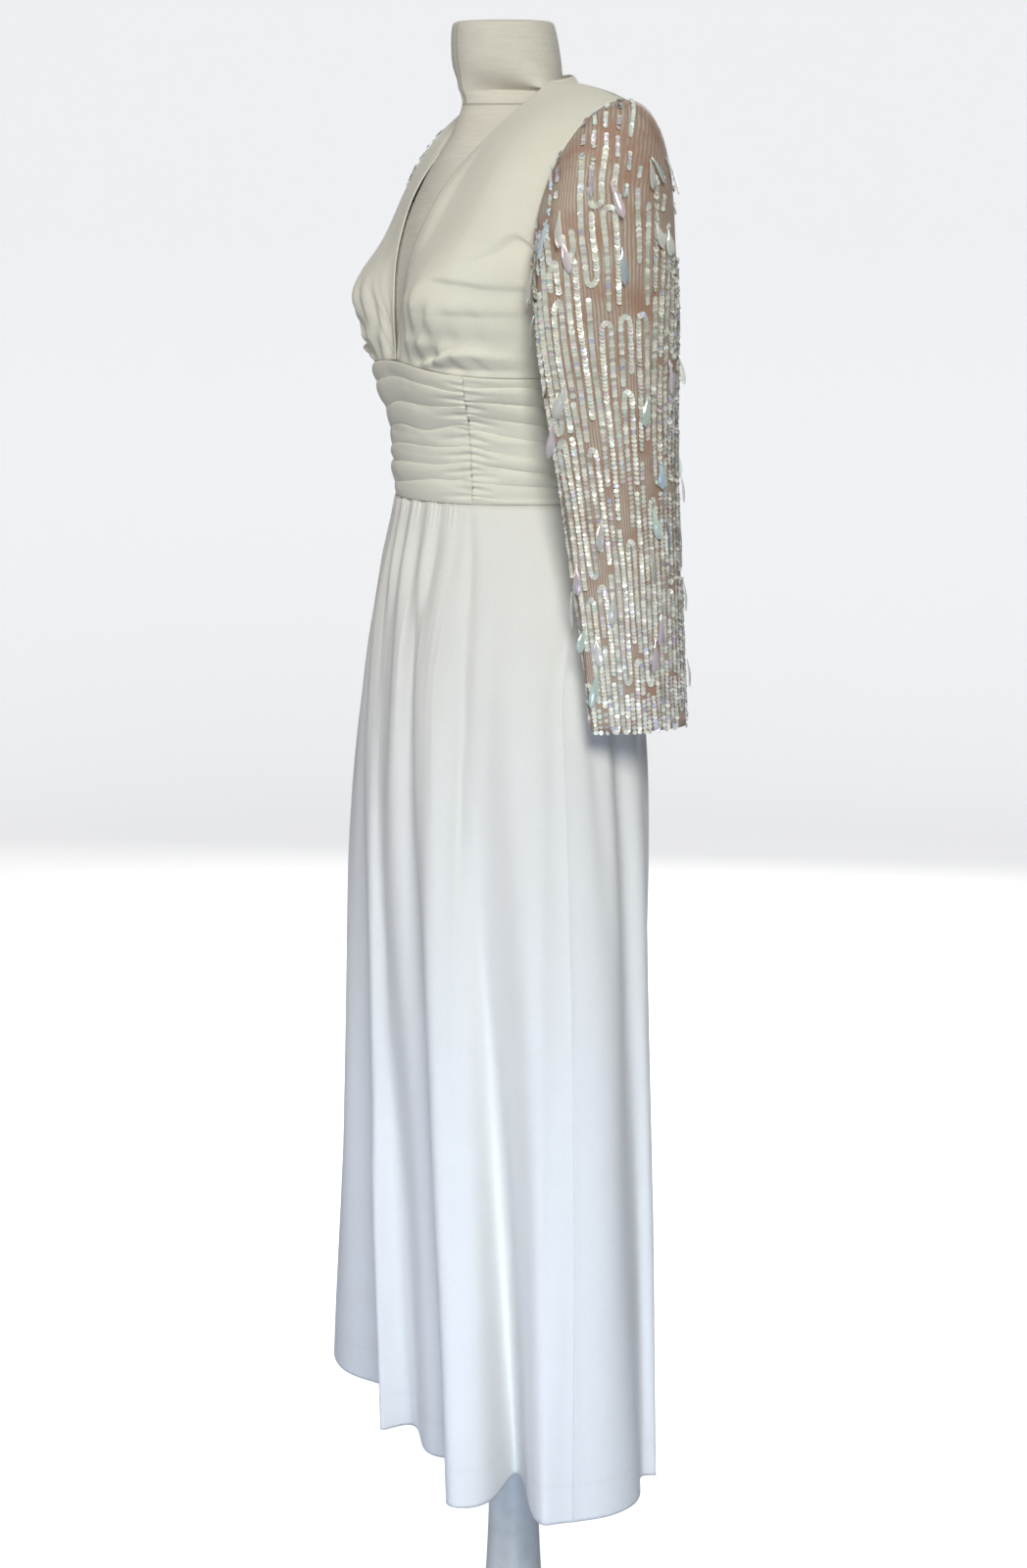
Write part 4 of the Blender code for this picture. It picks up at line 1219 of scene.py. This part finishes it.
def build_bodice(material):
    """The two fronts and the back of the bodice."""
    grid = bodice_front_grid(FRONT_COLUMNS)
    side = grid[..., 0]
    height = grid[..., 2]
    across = np.linspace(0, 1, grid.shape[1])[None, :]
    up = np.linspace(0, 1, grid.shape[0])[:, None]
    keep = ease(across / 0.05) * ease((1 - across) / 0.03) * ease(up / 0.03)
    pieces = {}
    for name, seed, hand in (("bodice_front_left", 1, 1), ("bodice_front_right", 5, -1)):
        made = grid.copy()
        into = fan_creases(side + 0.001 * seed, height)
        for index, line in enumerate(BUST_CREASES):
            into = into + crease(side + 0.0012 * index * (1 - hand), height, line)
        sunk = bell(side - UNDER_BUST[0], UNDER_BUST[2])
        sunk = sunk * bell(height - UNDER_BUST[1], UNDER_BUST[3])
        into = into + UNDER_BUST[4] * sunk
        into = into - 0.0010 * waver(seed, side * 60, height * 22)
        made[..., 1] += into * keep
        settle = table_at(NECK_TURN, height[:, 0])[0][:, None]
        made[..., 1] += settle * (1 - ease(across / 0.10))
        made = roll_edges(made, columns=(-1,), rows=(0, -1))
        if hand < 0:
            made = made * FLIP
        shade = edge_shade(made.shape[:2], rows=(0, -1), columns=(-1,))
        pieces[name] = cloth_piece(name, made, material, shade)
    back = bodice_back_grid(BACK_COLUMNS)
    reach = ease(np.linspace(0, 1, back.shape[1]) / 0.06)
    reach = (reach * reach[::-1])[None, :]
    up = np.linspace(0, 1, back.shape[0])[:, None]
    soft = 0.0016 * waver(3, back[..., 0] * 34, back[..., 2] * 16)
    for level, slope, half, deep in BACK_CREASES:
        off = back[..., 2] - level - slope * np.abs(back[..., 0])
        soft = soft - deep * bell(off, half)
    back[..., 1] += soft * reach * ease(up / 0.05) * ease((1 - up) / 0.12)
    back = roll_edges(back, columns=(0, -1), rows=(0,))
    shade = edge_shade(back.shape[:2], rows=(0,), columns=(0, -1))
    pieces["bodice_back"] = cloth_piece("bodice_back", back, material, shade)
    return pieces


def tucks(part, gap, table):
    """Short folds pressed in beside a seam, each dying out at its own reach."""
    depth = np.zeros_like(part)
    for seam_level, end_level, reach, deep in table:
        share = np.clip(gap / reach, 0, 1)
        off = part - seam_level - (end_level - seam_level) * share
        depth += deep * (1 - ease(share)) * bell(off, TUCK_HALF)
    return depth


def band_fine(angles, grooves, table):
    """The midriff band: its rows follow the grooves between its folds."""
    levels = [np.zeros_like(angles), *table_at(grooves, angles), np.ones_like(angles)]
    turns = np.linspace(0, math.pi, FOLD_STEPS + 1)
    gap = np.abs(np.abs((angles + 180) % 360 - 180) - RUCHE_SEAM)
    near = np.exp(-(gap / 7.0) ** 2)
    grid = []
    for index, (low, high) in enumerate(zip(levels, levels[1:])):
        last = index == len(levels) - 2
        for turn in turns if last else turns[:-1]:
            part = low + (high - low) * (1 - math.cos(turn)) / 2
            height = WAIST_HEIGHT + part * (band_top(angles) - WAIST_HEIGHT)
            edge = ease(part * 14) * ease((1 - part) * 14)
            tall = np.sqrt((high - low) / FOLD_HEIGHT)
            share = (1 - math.cos(turn)) / 2
            full = math.sin(turn) ** 1.25 * (0.72 + 0.55 * share)
            fuller = 1 + 0.5 * waver(index + 3, np.radians(angles) * 2.6)
            out = FOLD_DEPTH * tall * full * (1 - 0.45 * near) * fuller
            dents = waver(index * 1.3, np.radians(angles) * 9, part * 19)
            pressed = tucks(part, gap, table) + DENT_DEPTH * np.clip(dents, 0, 1)
            out = out - pressed * edge * math.sin(turn) ** 0.5
            loops = np.abs(np.sin(math.pi * LOOP_COUNT * part + 3 * np.sin(9 * part)))
            out = out + LOOP_DEPTH * loops * (1 - ease(gap / LOOP_REACH)) * edge
            out = out - SEAM_DEPTH * np.exp(-(gap / SEAM_WIDTH) ** 2) * edge
            grid.append(fitted(angles, height) + out[:, None] * outward(angles))
    return np.array(grid)


def build_band(material):
    """The two pieces of the midriff band."""
    pieces = {}
    spans = (
        ("midriff_front", -RUCHE_SEAM, RUCHE_SEAM, BAND_COLUMNS[0], BAND_FRONT, FRONT_TUCKS),
        ("midriff_back", RUCHE_SEAM, 360 - RUCHE_SEAM, BAND_COLUMNS[1], BAND_BACK, BACK_TUCKS),
    )
    for name, start, end, columns, grooves, table in spans:
        angles = start + (end - start) * spread(columns, (0.002, 0.005, 0.009))
        grid = band_fine(angles, grooves, table)
        shade = edge_shade(grid.shape[:2], rows=(0, -1))
        pieces[name] = cloth_piece(name, grid, material, shade)
    return pieces


def skirt_fine(angles, drops):
    """The skirt with its long soft folds and the small pleats under the band."""
    grid = skirt_grid(angles, drops)
    blurred = np.zeros_like(grid)
    weights = bell(HEM_BLUR, HEM_BLUR[-1] / 2)
    for offset, weight in zip(HEM_BLUR, weights / weights.sum()):
        blurred += weight * skirt_grid(angles + offset, drops)
    blend = ease(drops / 0.6)[:, None, None]
    grid = grid * (1 - blend) + blurred * blend
    turned = ((angles + 180) % 360 - 180)[None, :]
    drop = drops[:, None]
    loose = np.array([gathers(turned[0], value) for value in drops])
    share = ease((drop - LOOSE_START) / (LOOSE_END - LOOSE_START))
    uneven = 0.35 + 0.5 * waver(5, np.radians(turned) * 6)
    depth = -loose * (share + (1 - share) * np.clip(uneven, 0, 0.8))
    for deep, half_width, line in SKIRT_FOLDS:
        middle = table_at(line, drops)[0][:, None]
        gap = (turned - middle + 180) % 360 - 180
        fade = ease((drop - line[0][0] + 0.03) / 0.12) * ease((line[-1][0] + 0.06 - drop) / 0.30)
        width = half_width * (0.7 + 0.6 * ease(drop / 0.6))
        depth += deep * fade * bell(gap, width)
    inside = ease((RUCHE_SEAM + 2 - np.abs(turned)) / 6)
    swell = 0.65 + 0.5 * np.sin(np.radians(turned) * 31)
    pleats = np.cos(np.radians(turned) * PLEAT_WAVES + 2.2 * np.sin(np.radians(turned) * 13))
    depth += PLEAT_DEPTH * inside * swell * pleats * (1 - ease(drop / PLEAT_END))
    depth += SKIRT_WAVER * waver(9, np.radians(turned) * 5, drop * 6) * ease(drop / 0.1)
    beside = np.abs(np.abs(turned) - SIDE_SEAM)
    depth += SIDE_RIDGE * bell(beside, SIDE_RIDGE_HALF)
    depth -= HEM_GROOVE * bell(drop - HEM_LINE, 0.0016)
    return grid + depth[..., None] * level_normals(grid)


def build_skirt(material):
    """The skirt's front and back."""
    pieces = {}
    drops = np.concatenate([
        np.linspace(0, 0.1, 18)[:-1],
        np.linspace(0.1, HEM_LINE - HEM_BAND, SKIRT_ROWS)[:-1],
        np.linspace(HEM_LINE - HEM_BAND, HEM_LINE + HEM_BAND, 9)[:-1],
        np.linspace(HEM_LINE + HEM_BAND, 1, 10),
    ])
    spans = (
        ("skirt_front", -SIDE_SEAM, SIDE_SEAM, SKIRT_COLUMNS[0]),
        ("skirt_back", SIDE_SEAM, 360 - SIDE_SEAM, SKIRT_COLUMNS[1]),
    )
    for name, start, end, columns in spans:
        angles = start + (end - start) * spread(columns)
        grid = roll_edges(skirt_fine(angles, drops), rows=(0,))
        shade = edge_shade(grid.shape[:2], rows=(0,))
        # Painted shade in the groove along the hem's stitching
        turn = bell(drops - HEM_LINE, 0.0018)[:, None, None]
        shade = shade * (1 - HEM_SHADE * turn)
        pieces[name] = cloth_piece(name, grid, material, shade)
    return pieces


def sleeve_fine(rows, sides):
    """The left sleeve on a fine grid, its points evenly spaced round each ring."""
    table = [(index, *ring) for index, ring in enumerate(SLEEVE)]
    steps = np.linspace(0, len(SLEEVE) - 1, rows + 1)
    rings = table_at(table, steps).T
    turn = np.radians(np.linspace(0, 360, 4 * sides + 1))
    grid = []
    for step, ring in zip(steps, rings):
        out_side, out_height, in_side, in_height, middle, half_front, flat = ring
        swing = np.sign(np.cos(turn)) * np.abs(np.cos(turn)) ** flat
        side = (out_side + in_side) / 2 + (out_side - in_side) / 2 * swing
        height = (out_height + in_height) / 2 + (out_height - in_height) / 2 * swing
        lean = ARMHOLE_FRONT_LEAN * max(0, 1 - step / 3)
        front = middle + half_front * np.sin(turn) + lean * np.cos(turn)
        line = place(side, front, height)
        length = np.concatenate([[0], np.cumsum(np.linalg.norm(np.diff(line, axis=0), axis=1))])
        even = np.linspace(0, length[-1], sides + 1)[:-1]
        grid.append(np.stack([np.interp(even, length, part) for part in line.T], axis=1))
    grid = np.array(grid)
    grid[0, :, 0] += SEAM_GAP
    return grid


def sleeve_normals(grid):
    """Outward directions of a sleeve, away from its own middle."""
    normals = grid_normals(grid, True)
    centre = grid.mean(axis=1, keepdims=True)
    if np.sum(normals * (grid - centre)) < 0:
        normals = -normals
    return normals


def on_sleeve(grid, values, around, down):
    """Values of a sleeve grid at shares round and down it."""
    rows, sides = grid.shape[:2]
    column = (around % 1.0) * sides
    row = np.clip(down, 0, 1) * (rows - 1)
    left = np.floor(column).astype(int)
    low = np.minimum(np.floor(row).astype(int), rows - 2)
    share = (column - left)[:, None]
    rise = (row - low)[:, None]
    near = left % sides
    far = (left + 1) % sides
    start = values[low, near] * (1 - share) + values[low, far] * share
    end = values[low + 1, near] * (1 - share) + values[low + 1, far] * share
    return start * (1 - rise) + end * rise


def strip_paths(rng, length, spacing):
    """Serpentine runs of sequins as lists of (column, distance down), laid out at random.

    Each run goes down one column and turns back up its neighbour, or on to the next."""
    free = rng.uniform(*STRIP_START, STRIP_COLUMNS)
    paths = []
    while free.min() < length - STRIP_SHORTEST:
        column = int(np.argmin(free))
        beside = (column + rng.choice((-1, 1))) % STRIP_COLUMNS
        if free[beside] > free[column] + STRIP_LEAD:
            beside = (column - (beside - column)) % STRIP_COLUMNS
        top = free[column] + rng.uniform(*STRIP_GAP)
        bottom = min(top + rng.uniform(*STRIP_LENGTH), length)
        if free[beside] > bottom - STRIP_BESIDE:
            paths.append([(column, top), (column, bottom)])
            free[column] = bottom
            continue
        way = beside - column
        if abs(way) > 1:
            way = -int(math.copysign(1, way))
        partner_top = max(free[beside] + rng.uniform(*STRIP_GAP), top)
        if rng.random() < 0.5:
            second_end = bottom + rng.uniform(-STRIP_UNEVEN, STRIP_UNEVEN)
            second_end = min(max(second_end, partner_top + STRIP_PARTNER), length)
            start = max(top, partner_top)
            run = [(column, bottom)] + arc(column, way, start, -1, spacing)
            run += [(column + way, second_end)]
            free[beside] = second_end
        else:
            run = [(column, top)] + arc(column, way, bottom, 1, spacing)
            run += [(column + way, partner_top)]
            free[beside] = bottom
        free[column] = bottom
        paths.append(run)
    return paths


def arc(column, way, level, bulge, spacing):
    """The half turn between two columns, below the level for bulge 1 and above it for -1."""
    turns = np.linspace(0, math.pi, 7)
    radius = spacing / 2
    points = []
    for turn in turns:
        across = column + way * (1 - math.cos(turn)) / 2
        points.append((across, level + bulge * radius * (math.sin(turn) - 1)))
    return points


def pick_tints(rng, count, tints):
    """Tints drawn by their shares, each a little lighter or darker."""
    shares = np.array([share for share, _ in tints])
    colours = np.array([colour for _, colour in tints])
    chosen = colours[rng.choice(len(tints), count, p=shares / shares.sum())]
    return np.clip(chosen * rng.uniform(*TINT_RANGE, (count, 1)), 0, 1)


def build_sequins(name, grid, normals, seed, mirrored, material):
    """Rows of overlapping sequins, each a shallow dish, as one mesh."""
    rng = np.random.default_rng(seed)
    length = np.linalg.norm(np.diff(grid, axis=0), axis=2).sum(axis=0).mean()
    ring = grid[SLEEVE_ROWS // 2]
    spacing = np.linalg.norm(ring[1:] - ring[:-1], axis=1).sum() / STRIP_COLUMNS
    spots = []
    glinting = []
    for path in strip_paths(rng, length, spacing):
        line = np.array(path)
        real = line * np.array([spacing, 1.0])
        step = np.linalg.norm(np.diff(real, axis=0), axis=1)
        travelled = np.concatenate([[0], np.cumsum(step)])
        count = max(2, int(travelled[-1] / SEQUIN_STEP))
        even = np.linspace(0, travelled[-1], count)
        columns = np.interp(even, travelled, line[:, 0])
        downs = np.interp(even, travelled, line[:, 1])
        sway = np.sin(downs * STRIP_SWAY_WAVES + path[0][0] * 1.9)
        columns = columns + STRIP_SWAY * sway
        spots.append(np.stack([columns, downs], axis=1))
        glinting.append(np.full(count, rng.random() < SPARSE_SHARE))
    follow = np.concatenate([np.gradient(spot, axis=0) for spot in spots])
    spots = np.concatenate(spots)
    dense = rng.uniform(*DENSE_START, STRIP_COLUMNS + 2)[np.round(spots[:, 0]).astype(int)]
    clump = 0.5 + 0.5 * np.sin(spots[:, 1] * 150 + spots[:, 0] * 2.1)
    glinting = np.concatenate(glinting) & (np.abs(follow[:, 1]) > np.abs(follow[:, 0]) * 0.004)
    kept = (spots[:, 1] > dense) | (glinting & (rng.random(len(spots)) < clump))
    dense = dense[kept]
    spots = spots[kept]
    follow = follow[kept]
    around = (spots[:, 0] + 0.5) / STRIP_COLUMNS
    down = spots[:, 1] / length
    centre = on_sleeve(grid, grid, around, down)
    out = on_sleeve(grid, normals, around, down)
    ahead = on_sleeve(grid, grid, around + follow[:, 0] * 0.5 / STRIP_COLUMNS,
                      np.clip(down + follow[:, 1] * 0.5 / length, 0, 1)) - centre
    ahead = flattened(ahead, out)
    ahead /= np.linalg.norm(ahead, axis=1, keepdims=True) + 1e-9
    out = unit(out)
    tilt = SEQUIN_TILT[0] + SEQUIN_TILT[1] * rng.standard_normal((len(out), 1))
    lean = SEQUIN_LEAN * rng.standard_normal((len(out), 1))
    cross = np.cross(out, ahead)
    face = unit(out + tilt * ahead + lean * cross)
    first = unit(flattened(ahead, face))
    second = np.cross(face, first)
    above = (spots[:, 1] < dense)[:, None]
    girths = np.linalg.norm(grid[:, 1:] - grid[:, :-1], axis=2).sum(axis=1)
    room = np.interp(down * (len(girths) - 1), np.arange(len(girths)), girths) / STRIP_COLUMNS
    radius = np.clip(room * SEQUIN_SHARE, *SEQUIN_RADIUS)[:, None]
    radius = radius * rng.uniform(*SEQUIN_UNEVEN, (len(out), 1))
    radius = radius * np.where(above, GLINT_SIZE, 1.0)
    middle = centre + out * SEQUIN_LIFT
    turns = np.linspace(0, 2 * math.pi, SEQUIN_SIDES + 1)[:-1]
    rings = [middle - face * SEQUIN_DISH]
    for turn in turns:
        rings.append(middle + radius * (first * math.cos(turn) + second * math.sin(turn)))
    points = np.stack(rings, axis=1)
    if mirrored:
        points = points * FLIP
    each = SEQUIN_SIDES + 1
    start = np.arange(len(points))[:, None] * each
    faces = []
    for side in range(SEQUIN_SIDES):
        beside = (side + 1) % SEQUIN_SIDES
        faces.append(start + np.array([[0, 1 + side, 1 + beside]]))
    piece = make_mesh(name, points, np.concatenate(faces).tolist(), material)
    colours = pick_tints(rng, len(points), SEQUIN_TINTS)
    glint = pick_tints(rng, len(points), DROP_TINTS)
    colours = np.where(above, glint, colours)
    paint_points(piece, "tint", np.repeat(colours, each, axis=0))
    return piece


def build_drops(name, grid, normals, seed, mirrored, material):
    """Long pearly drops that hang from their tops over the sequin rows."""
    rng = np.random.default_rng(seed)
    count = DROP_COUNT
    around = rng.random(count)
    down = DROP_SPAN[0] + DROP_SPAN[1] * rng.random(count) ** 0.9
    top = on_sleeve(grid, grid, around, down)
    out = unit(on_sleeve(grid, normals, around, down))
    fall = np.array([[0, 0, -1.0]]) + DROP_SWING * rng.standard_normal((count, 3))
    fall = unit(flattened(fall, out))
    fall = unit(fall + out * rng.uniform(*DROP_OFF, (count, 1)))
    across = np.cross(out, fall)
    across = unit(across + out * DROP_TWIST * rng.standard_normal((count, 1)))
    face = np.cross(fall, across)
    length = rng.uniform(*DROP_LENGTH, (count, 1))
    rows = []
    for share in np.linspace(0, 1, DROP_ROWS):
        foot = max(share - 1 + DROP_ROUND, 0) / DROP_ROUND
        half = DROP_WIDTH / 2 * math.sqrt(max(0, 1 - foot ** 2))
        half *= DROP_TOP + (1 - DROP_TOP) * float(ease(share / DROP_WIDEST))
        line = top + out * DROP_LIFT + fall * length * share
        line = line + face * DROP_BOW * math.sin(math.pi * share)
        for step in np.linspace(-1, 1, DROP_COLUMNS):
            rows.append(line + across * (half * step) - face * (DROP_DISH * step * step))
    points = np.stack(rows, axis=1)
    if mirrored:
        points = points * FLIP
    each = points.shape[1]
    quads, _, _ = grid_faces(DROP_ROWS, DROP_COLUMNS, False)
    start = np.arange(count)[:, None, None] * each
    piece = make_mesh(name, points, (start + quads[None]).reshape(-1, 4).tolist(), material)
    tints = pick_tints(rng, count, DROP_TINTS)
    paint_points(piece, "tint", np.repeat(tints, each, axis=0))
    return piece


def build_sleeves(net, sequins, drops):
    """Both sleeves, each with its sequins and drops."""
    pieces = {}
    grid = sleeve_fine(SLEEVE_ROWS, SLEEVE_SIDES)
    normals = sleeve_normals(grid)
    down = np.linspace(0, 1, grid.shape[0])[:, None]
    turn = np.radians(np.linspace(0, 360, grid.shape[1] + 1)[:-1])[None, :]
    for name, seed, hand in (("sleeve_left", 11, 1), ("sleeve_right", 23, -1)):
        soft = SLEEVE_WAVER * waver(seed, down * 16, turn) * np.sin(math.pi * down) ** 0.5
        made = grid + soft[..., None] * normals
        around = sleeve_normals(made)
        shade = np.ones((*made.shape[:2], 3))
        seam = (1 - ease(down / SLEEVE_TOP))[..., None] * np.ones_like(turn)[..., None]
        shade = shade * (1 - seam) + SLEEVE_TOP_TINT * seam
        beads = build_sequins(name + "_sequins", made, around, seed, hand < 0, sequins)
        hanging = build_drops(name + "_drops", made, around, seed + 1, hand < 0, drops)
        if hand < 0:
            made = made * FLIP
        piece, made = cloth_piece(name, made, net, shade, closed=True)
        pieces[name] = (piece, made, (beads, hanging))
    return pieces


def build_form(material):
    """The linen-covered form, smoothed from its rings."""
    grid = form_grid()
    rows, sides = grid.shape[:2]
    faces, _, _ = grid_faces(rows, sides, True)
    faces = faces.tolist()
    faces.append(list(range(sides))[::-1])
    faces.append(list(range((rows - 1) * sides, rows * sides)))
    piece = make_mesh("form_cover", grid, faces, material)
    smooth = piece.modifiers.new("smooth", "SUBSURF")
    smooth.levels = 1
    smooth.render_levels = 1
    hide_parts("form_body")
    return piece


def turned_rings(outline):
    """A ring of points for each radius and height of an outline."""
    turns = np.linspace(0, 2 * math.pi, LATHE_SIDES + 1)[:-1]
    return np.array([[(radius * math.cos(turn), radius * math.sin(turn), height)
                      for turn in turns] for radius, height in outline])


def lathe(name, outline, material, node):
    """A turned piece from its outline of radius and height, top to bottom."""
    grid = turned_rings(outline)
    faces, _, _ = grid_faces(len(outline), LATHE_SIDES, True)
    faces = faces[:, ::-1].tolist()
    faces.append(list(range(LATHE_SIDES)))
    last = (len(outline) - 1) * LATHE_SIDES
    faces.append(list(range(last, last + LATHE_SIDES))[::-1])
    piece = make_mesh(name, grid, faces, material)
    piece.data.set_sharp_from_angle(angle=math.radians(35))
    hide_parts(node)
    return piece


def rounded(outline, corner, size, steps=5):
    """The outline with one right-angled corner rounded."""
    before, point, after = (np.array(outline[corner + move]) for move in (-1, 0, 1))
    start = point + (before - point) / np.linalg.norm(before - point) * size
    end = point + (after - point) / np.linalg.norm(after - point) * size
    curve = []
    for share in np.linspace(0, 1, steps):
        along = (1 - share) ** 2 * start + 2 * share * (1 - share) * point + share ** 2 * end
        curve.append(tuple(along))
    return outline[:corner] + curve + outline[corner + 1:]


def build_stand():
    """The pole, and the base with its rounded rim."""
    steel = metal_material("pole_steel", STEEL, 0.30)
    painted = metal_material("base_steel", BASE_PAINT, 0.42)
    top = FORM_BOTTOM - SEAM_GAP
    foot = BASE_THICKNESS + SEAM_GAP
    heights = np.linspace(POLE[0][0], POLE[-1][0], POLE_ROWS)
    radii = table_at(POLE, heights)[0]
    outline = [(POLE_TOP_RADIUS, top), *zip(radii, heights), (POLE_FOOT_RADIUS, foot)]
    lathe("pole", outline, steel, "stand_pole")
    rim = [(BASE_HOLE_RADIUS, BASE_THICKNESS), (BASE_RADIUS, BASE_THICKNESS),
           (BASE_RADIUS, 0.0), (BASE_HOLE_RADIUS, 0.0)]
    rim = rounded(rim, 1, BASE_EDGE)
    lathe("base", rim, painted, "stand_base")


def build_camera():
    """The camera, where the photo was taken from."""
    camera = bpy.data.cameras.new("camera")
    camera.lens = LENS
    camera.sensor_width = SENSOR
    camera.clip_end = 60
    piece = add_object("camera", camera)
    turn = math.radians(CAMERA_TURN)
    piece.location = (math.sin(turn) * CAMERA_DISTANCE, -math.cos(turn) * CAMERA_DISTANCE,
                      CAMERA_HEIGHT)
    piece.rotation_euler = (math.pi / 2 - CAMERA_FALL, 0, turn)
    bpy.context.scene.camera = piece


def build_lights():
    """The soft lights and the light from all round."""
    for name, angle, distance, height, aim, width, tall, power, fan, colour in LIGHTS:
        light = bpy.data.lights.new(name, "AREA")
        light.shape = "RECTANGLE"
        light.size = width
        light.size_y = tall
        light.energy = power
        light.spread = math.radians(fan)
        light.color = colour
        piece = add_object(name, light)
        turn = math.radians(angle)
        piece.location = (math.sin(turn) * distance, -math.cos(turn) * distance, height)
        fall = math.atan2(height - aim, distance)
        piece.rotation_euler = (math.pi / 2 - fall, 0, turn)
    world = bpy.data.worlds.new("world")
    world.use_nodes = True
    background = world.node_tree.nodes["Background"]
    background.inputs["Color"].default_value = (*WORLD[0], 1)
    seen = add_node(world.node_tree, "ShaderNodeLightPath").outputs["Is Camera Ray"]
    strength = add_node(world.node_tree, "ShaderNodeMapRange", {
        "Value": seen, "To Min": WORLD[1], "To Max": BACKDROP}).outputs["Result"]
    link(world.node_tree, strength, background.inputs["Strength"])
    bpy.context.scene.world = world


def build_floor():
    """A pale sweep under and round the stand."""
    material, tree, shader = new_material("sweep", Roughness=0.9, Emission_Strength=0.62)
    where = surface_place(tree)
    cloud = scaled_noise(tree, where, 0.8, 2.0)
    tone = blend_colours(tree, cloud, *FLOOR_TONES)
    link(tree, tone, shader.inputs["Base Color"])
    shader.inputs["Emission Color"].default_value = (1, 1, 1, 1)
    seen = add_node(tree, "ShaderNodeLightPath").outputs["Is Camera Ray"]
    bounce = add_node(tree, "ShaderNodeBsdfDiffuse", {"Color": FLOOR_BOUNCE})
    mixed = add_node(tree, "ShaderNodeMixShader", {
        0: seen, 1: bounce.outputs["BSDF"], 2: shader.outputs["BSDF"]})
    link(tree, mixed.outputs["Shader"], tree.nodes["Material Output"].inputs["Surface"])
    rings = [(0.001, 0.0), (FLOOR_REACH, 0.0)]
    for turn in np.linspace(0, math.pi / 2, 13)[1:]:
        rings.append((FLOOR_REACH + FLOOR_BEND * math.sin(turn),
                      FLOOR_BEND * (1 - math.cos(turn))))
    rings.append((FLOOR_REACH + FLOOR_BEND, FLOOR_TOP))
    grid = turned_rings(rings)
    grid[..., 2] -= FLOOR_DROP
    faces, _, _ = grid_faces(len(rings), LATHE_SIDES, True)
    smooth_mesh("floor", grid, faces.tolist(), material)


def main():
    build_camera()
    build_lights()
    build_floor()
    body = jersey_material("jersey", *BODICE_WHITE)
    skirt = jersey_material("jersey_skirt", *SKIRT_WHITE)
    pieces = {}
    pieces.update(build_bodice(body))
    pieces.update(build_band(body))
    pieces.update(build_skirt(skirt))
    sleeves = build_sleeves(net_material(), sequin_material("sequins", 0.34, 0.10, 330.0, 1.0),
                            sequin_material("pearly_drops", 0.16, 0.20, 460.0, 0.72))
    build_form(linen_material())
    build_stand()
    for name, (held, rests_on, take_up) in SHEETS.items():
        piece, grid = pieces[name]
        declare(grid, take_up=take_up)
    for name, (piece, grid, extra) in sleeves.items():
        declare(grid, closed=True)
    bpy.context.scene.view_settings.view_transform = "Standard"
    bpy.context.view_layer.update()


main()
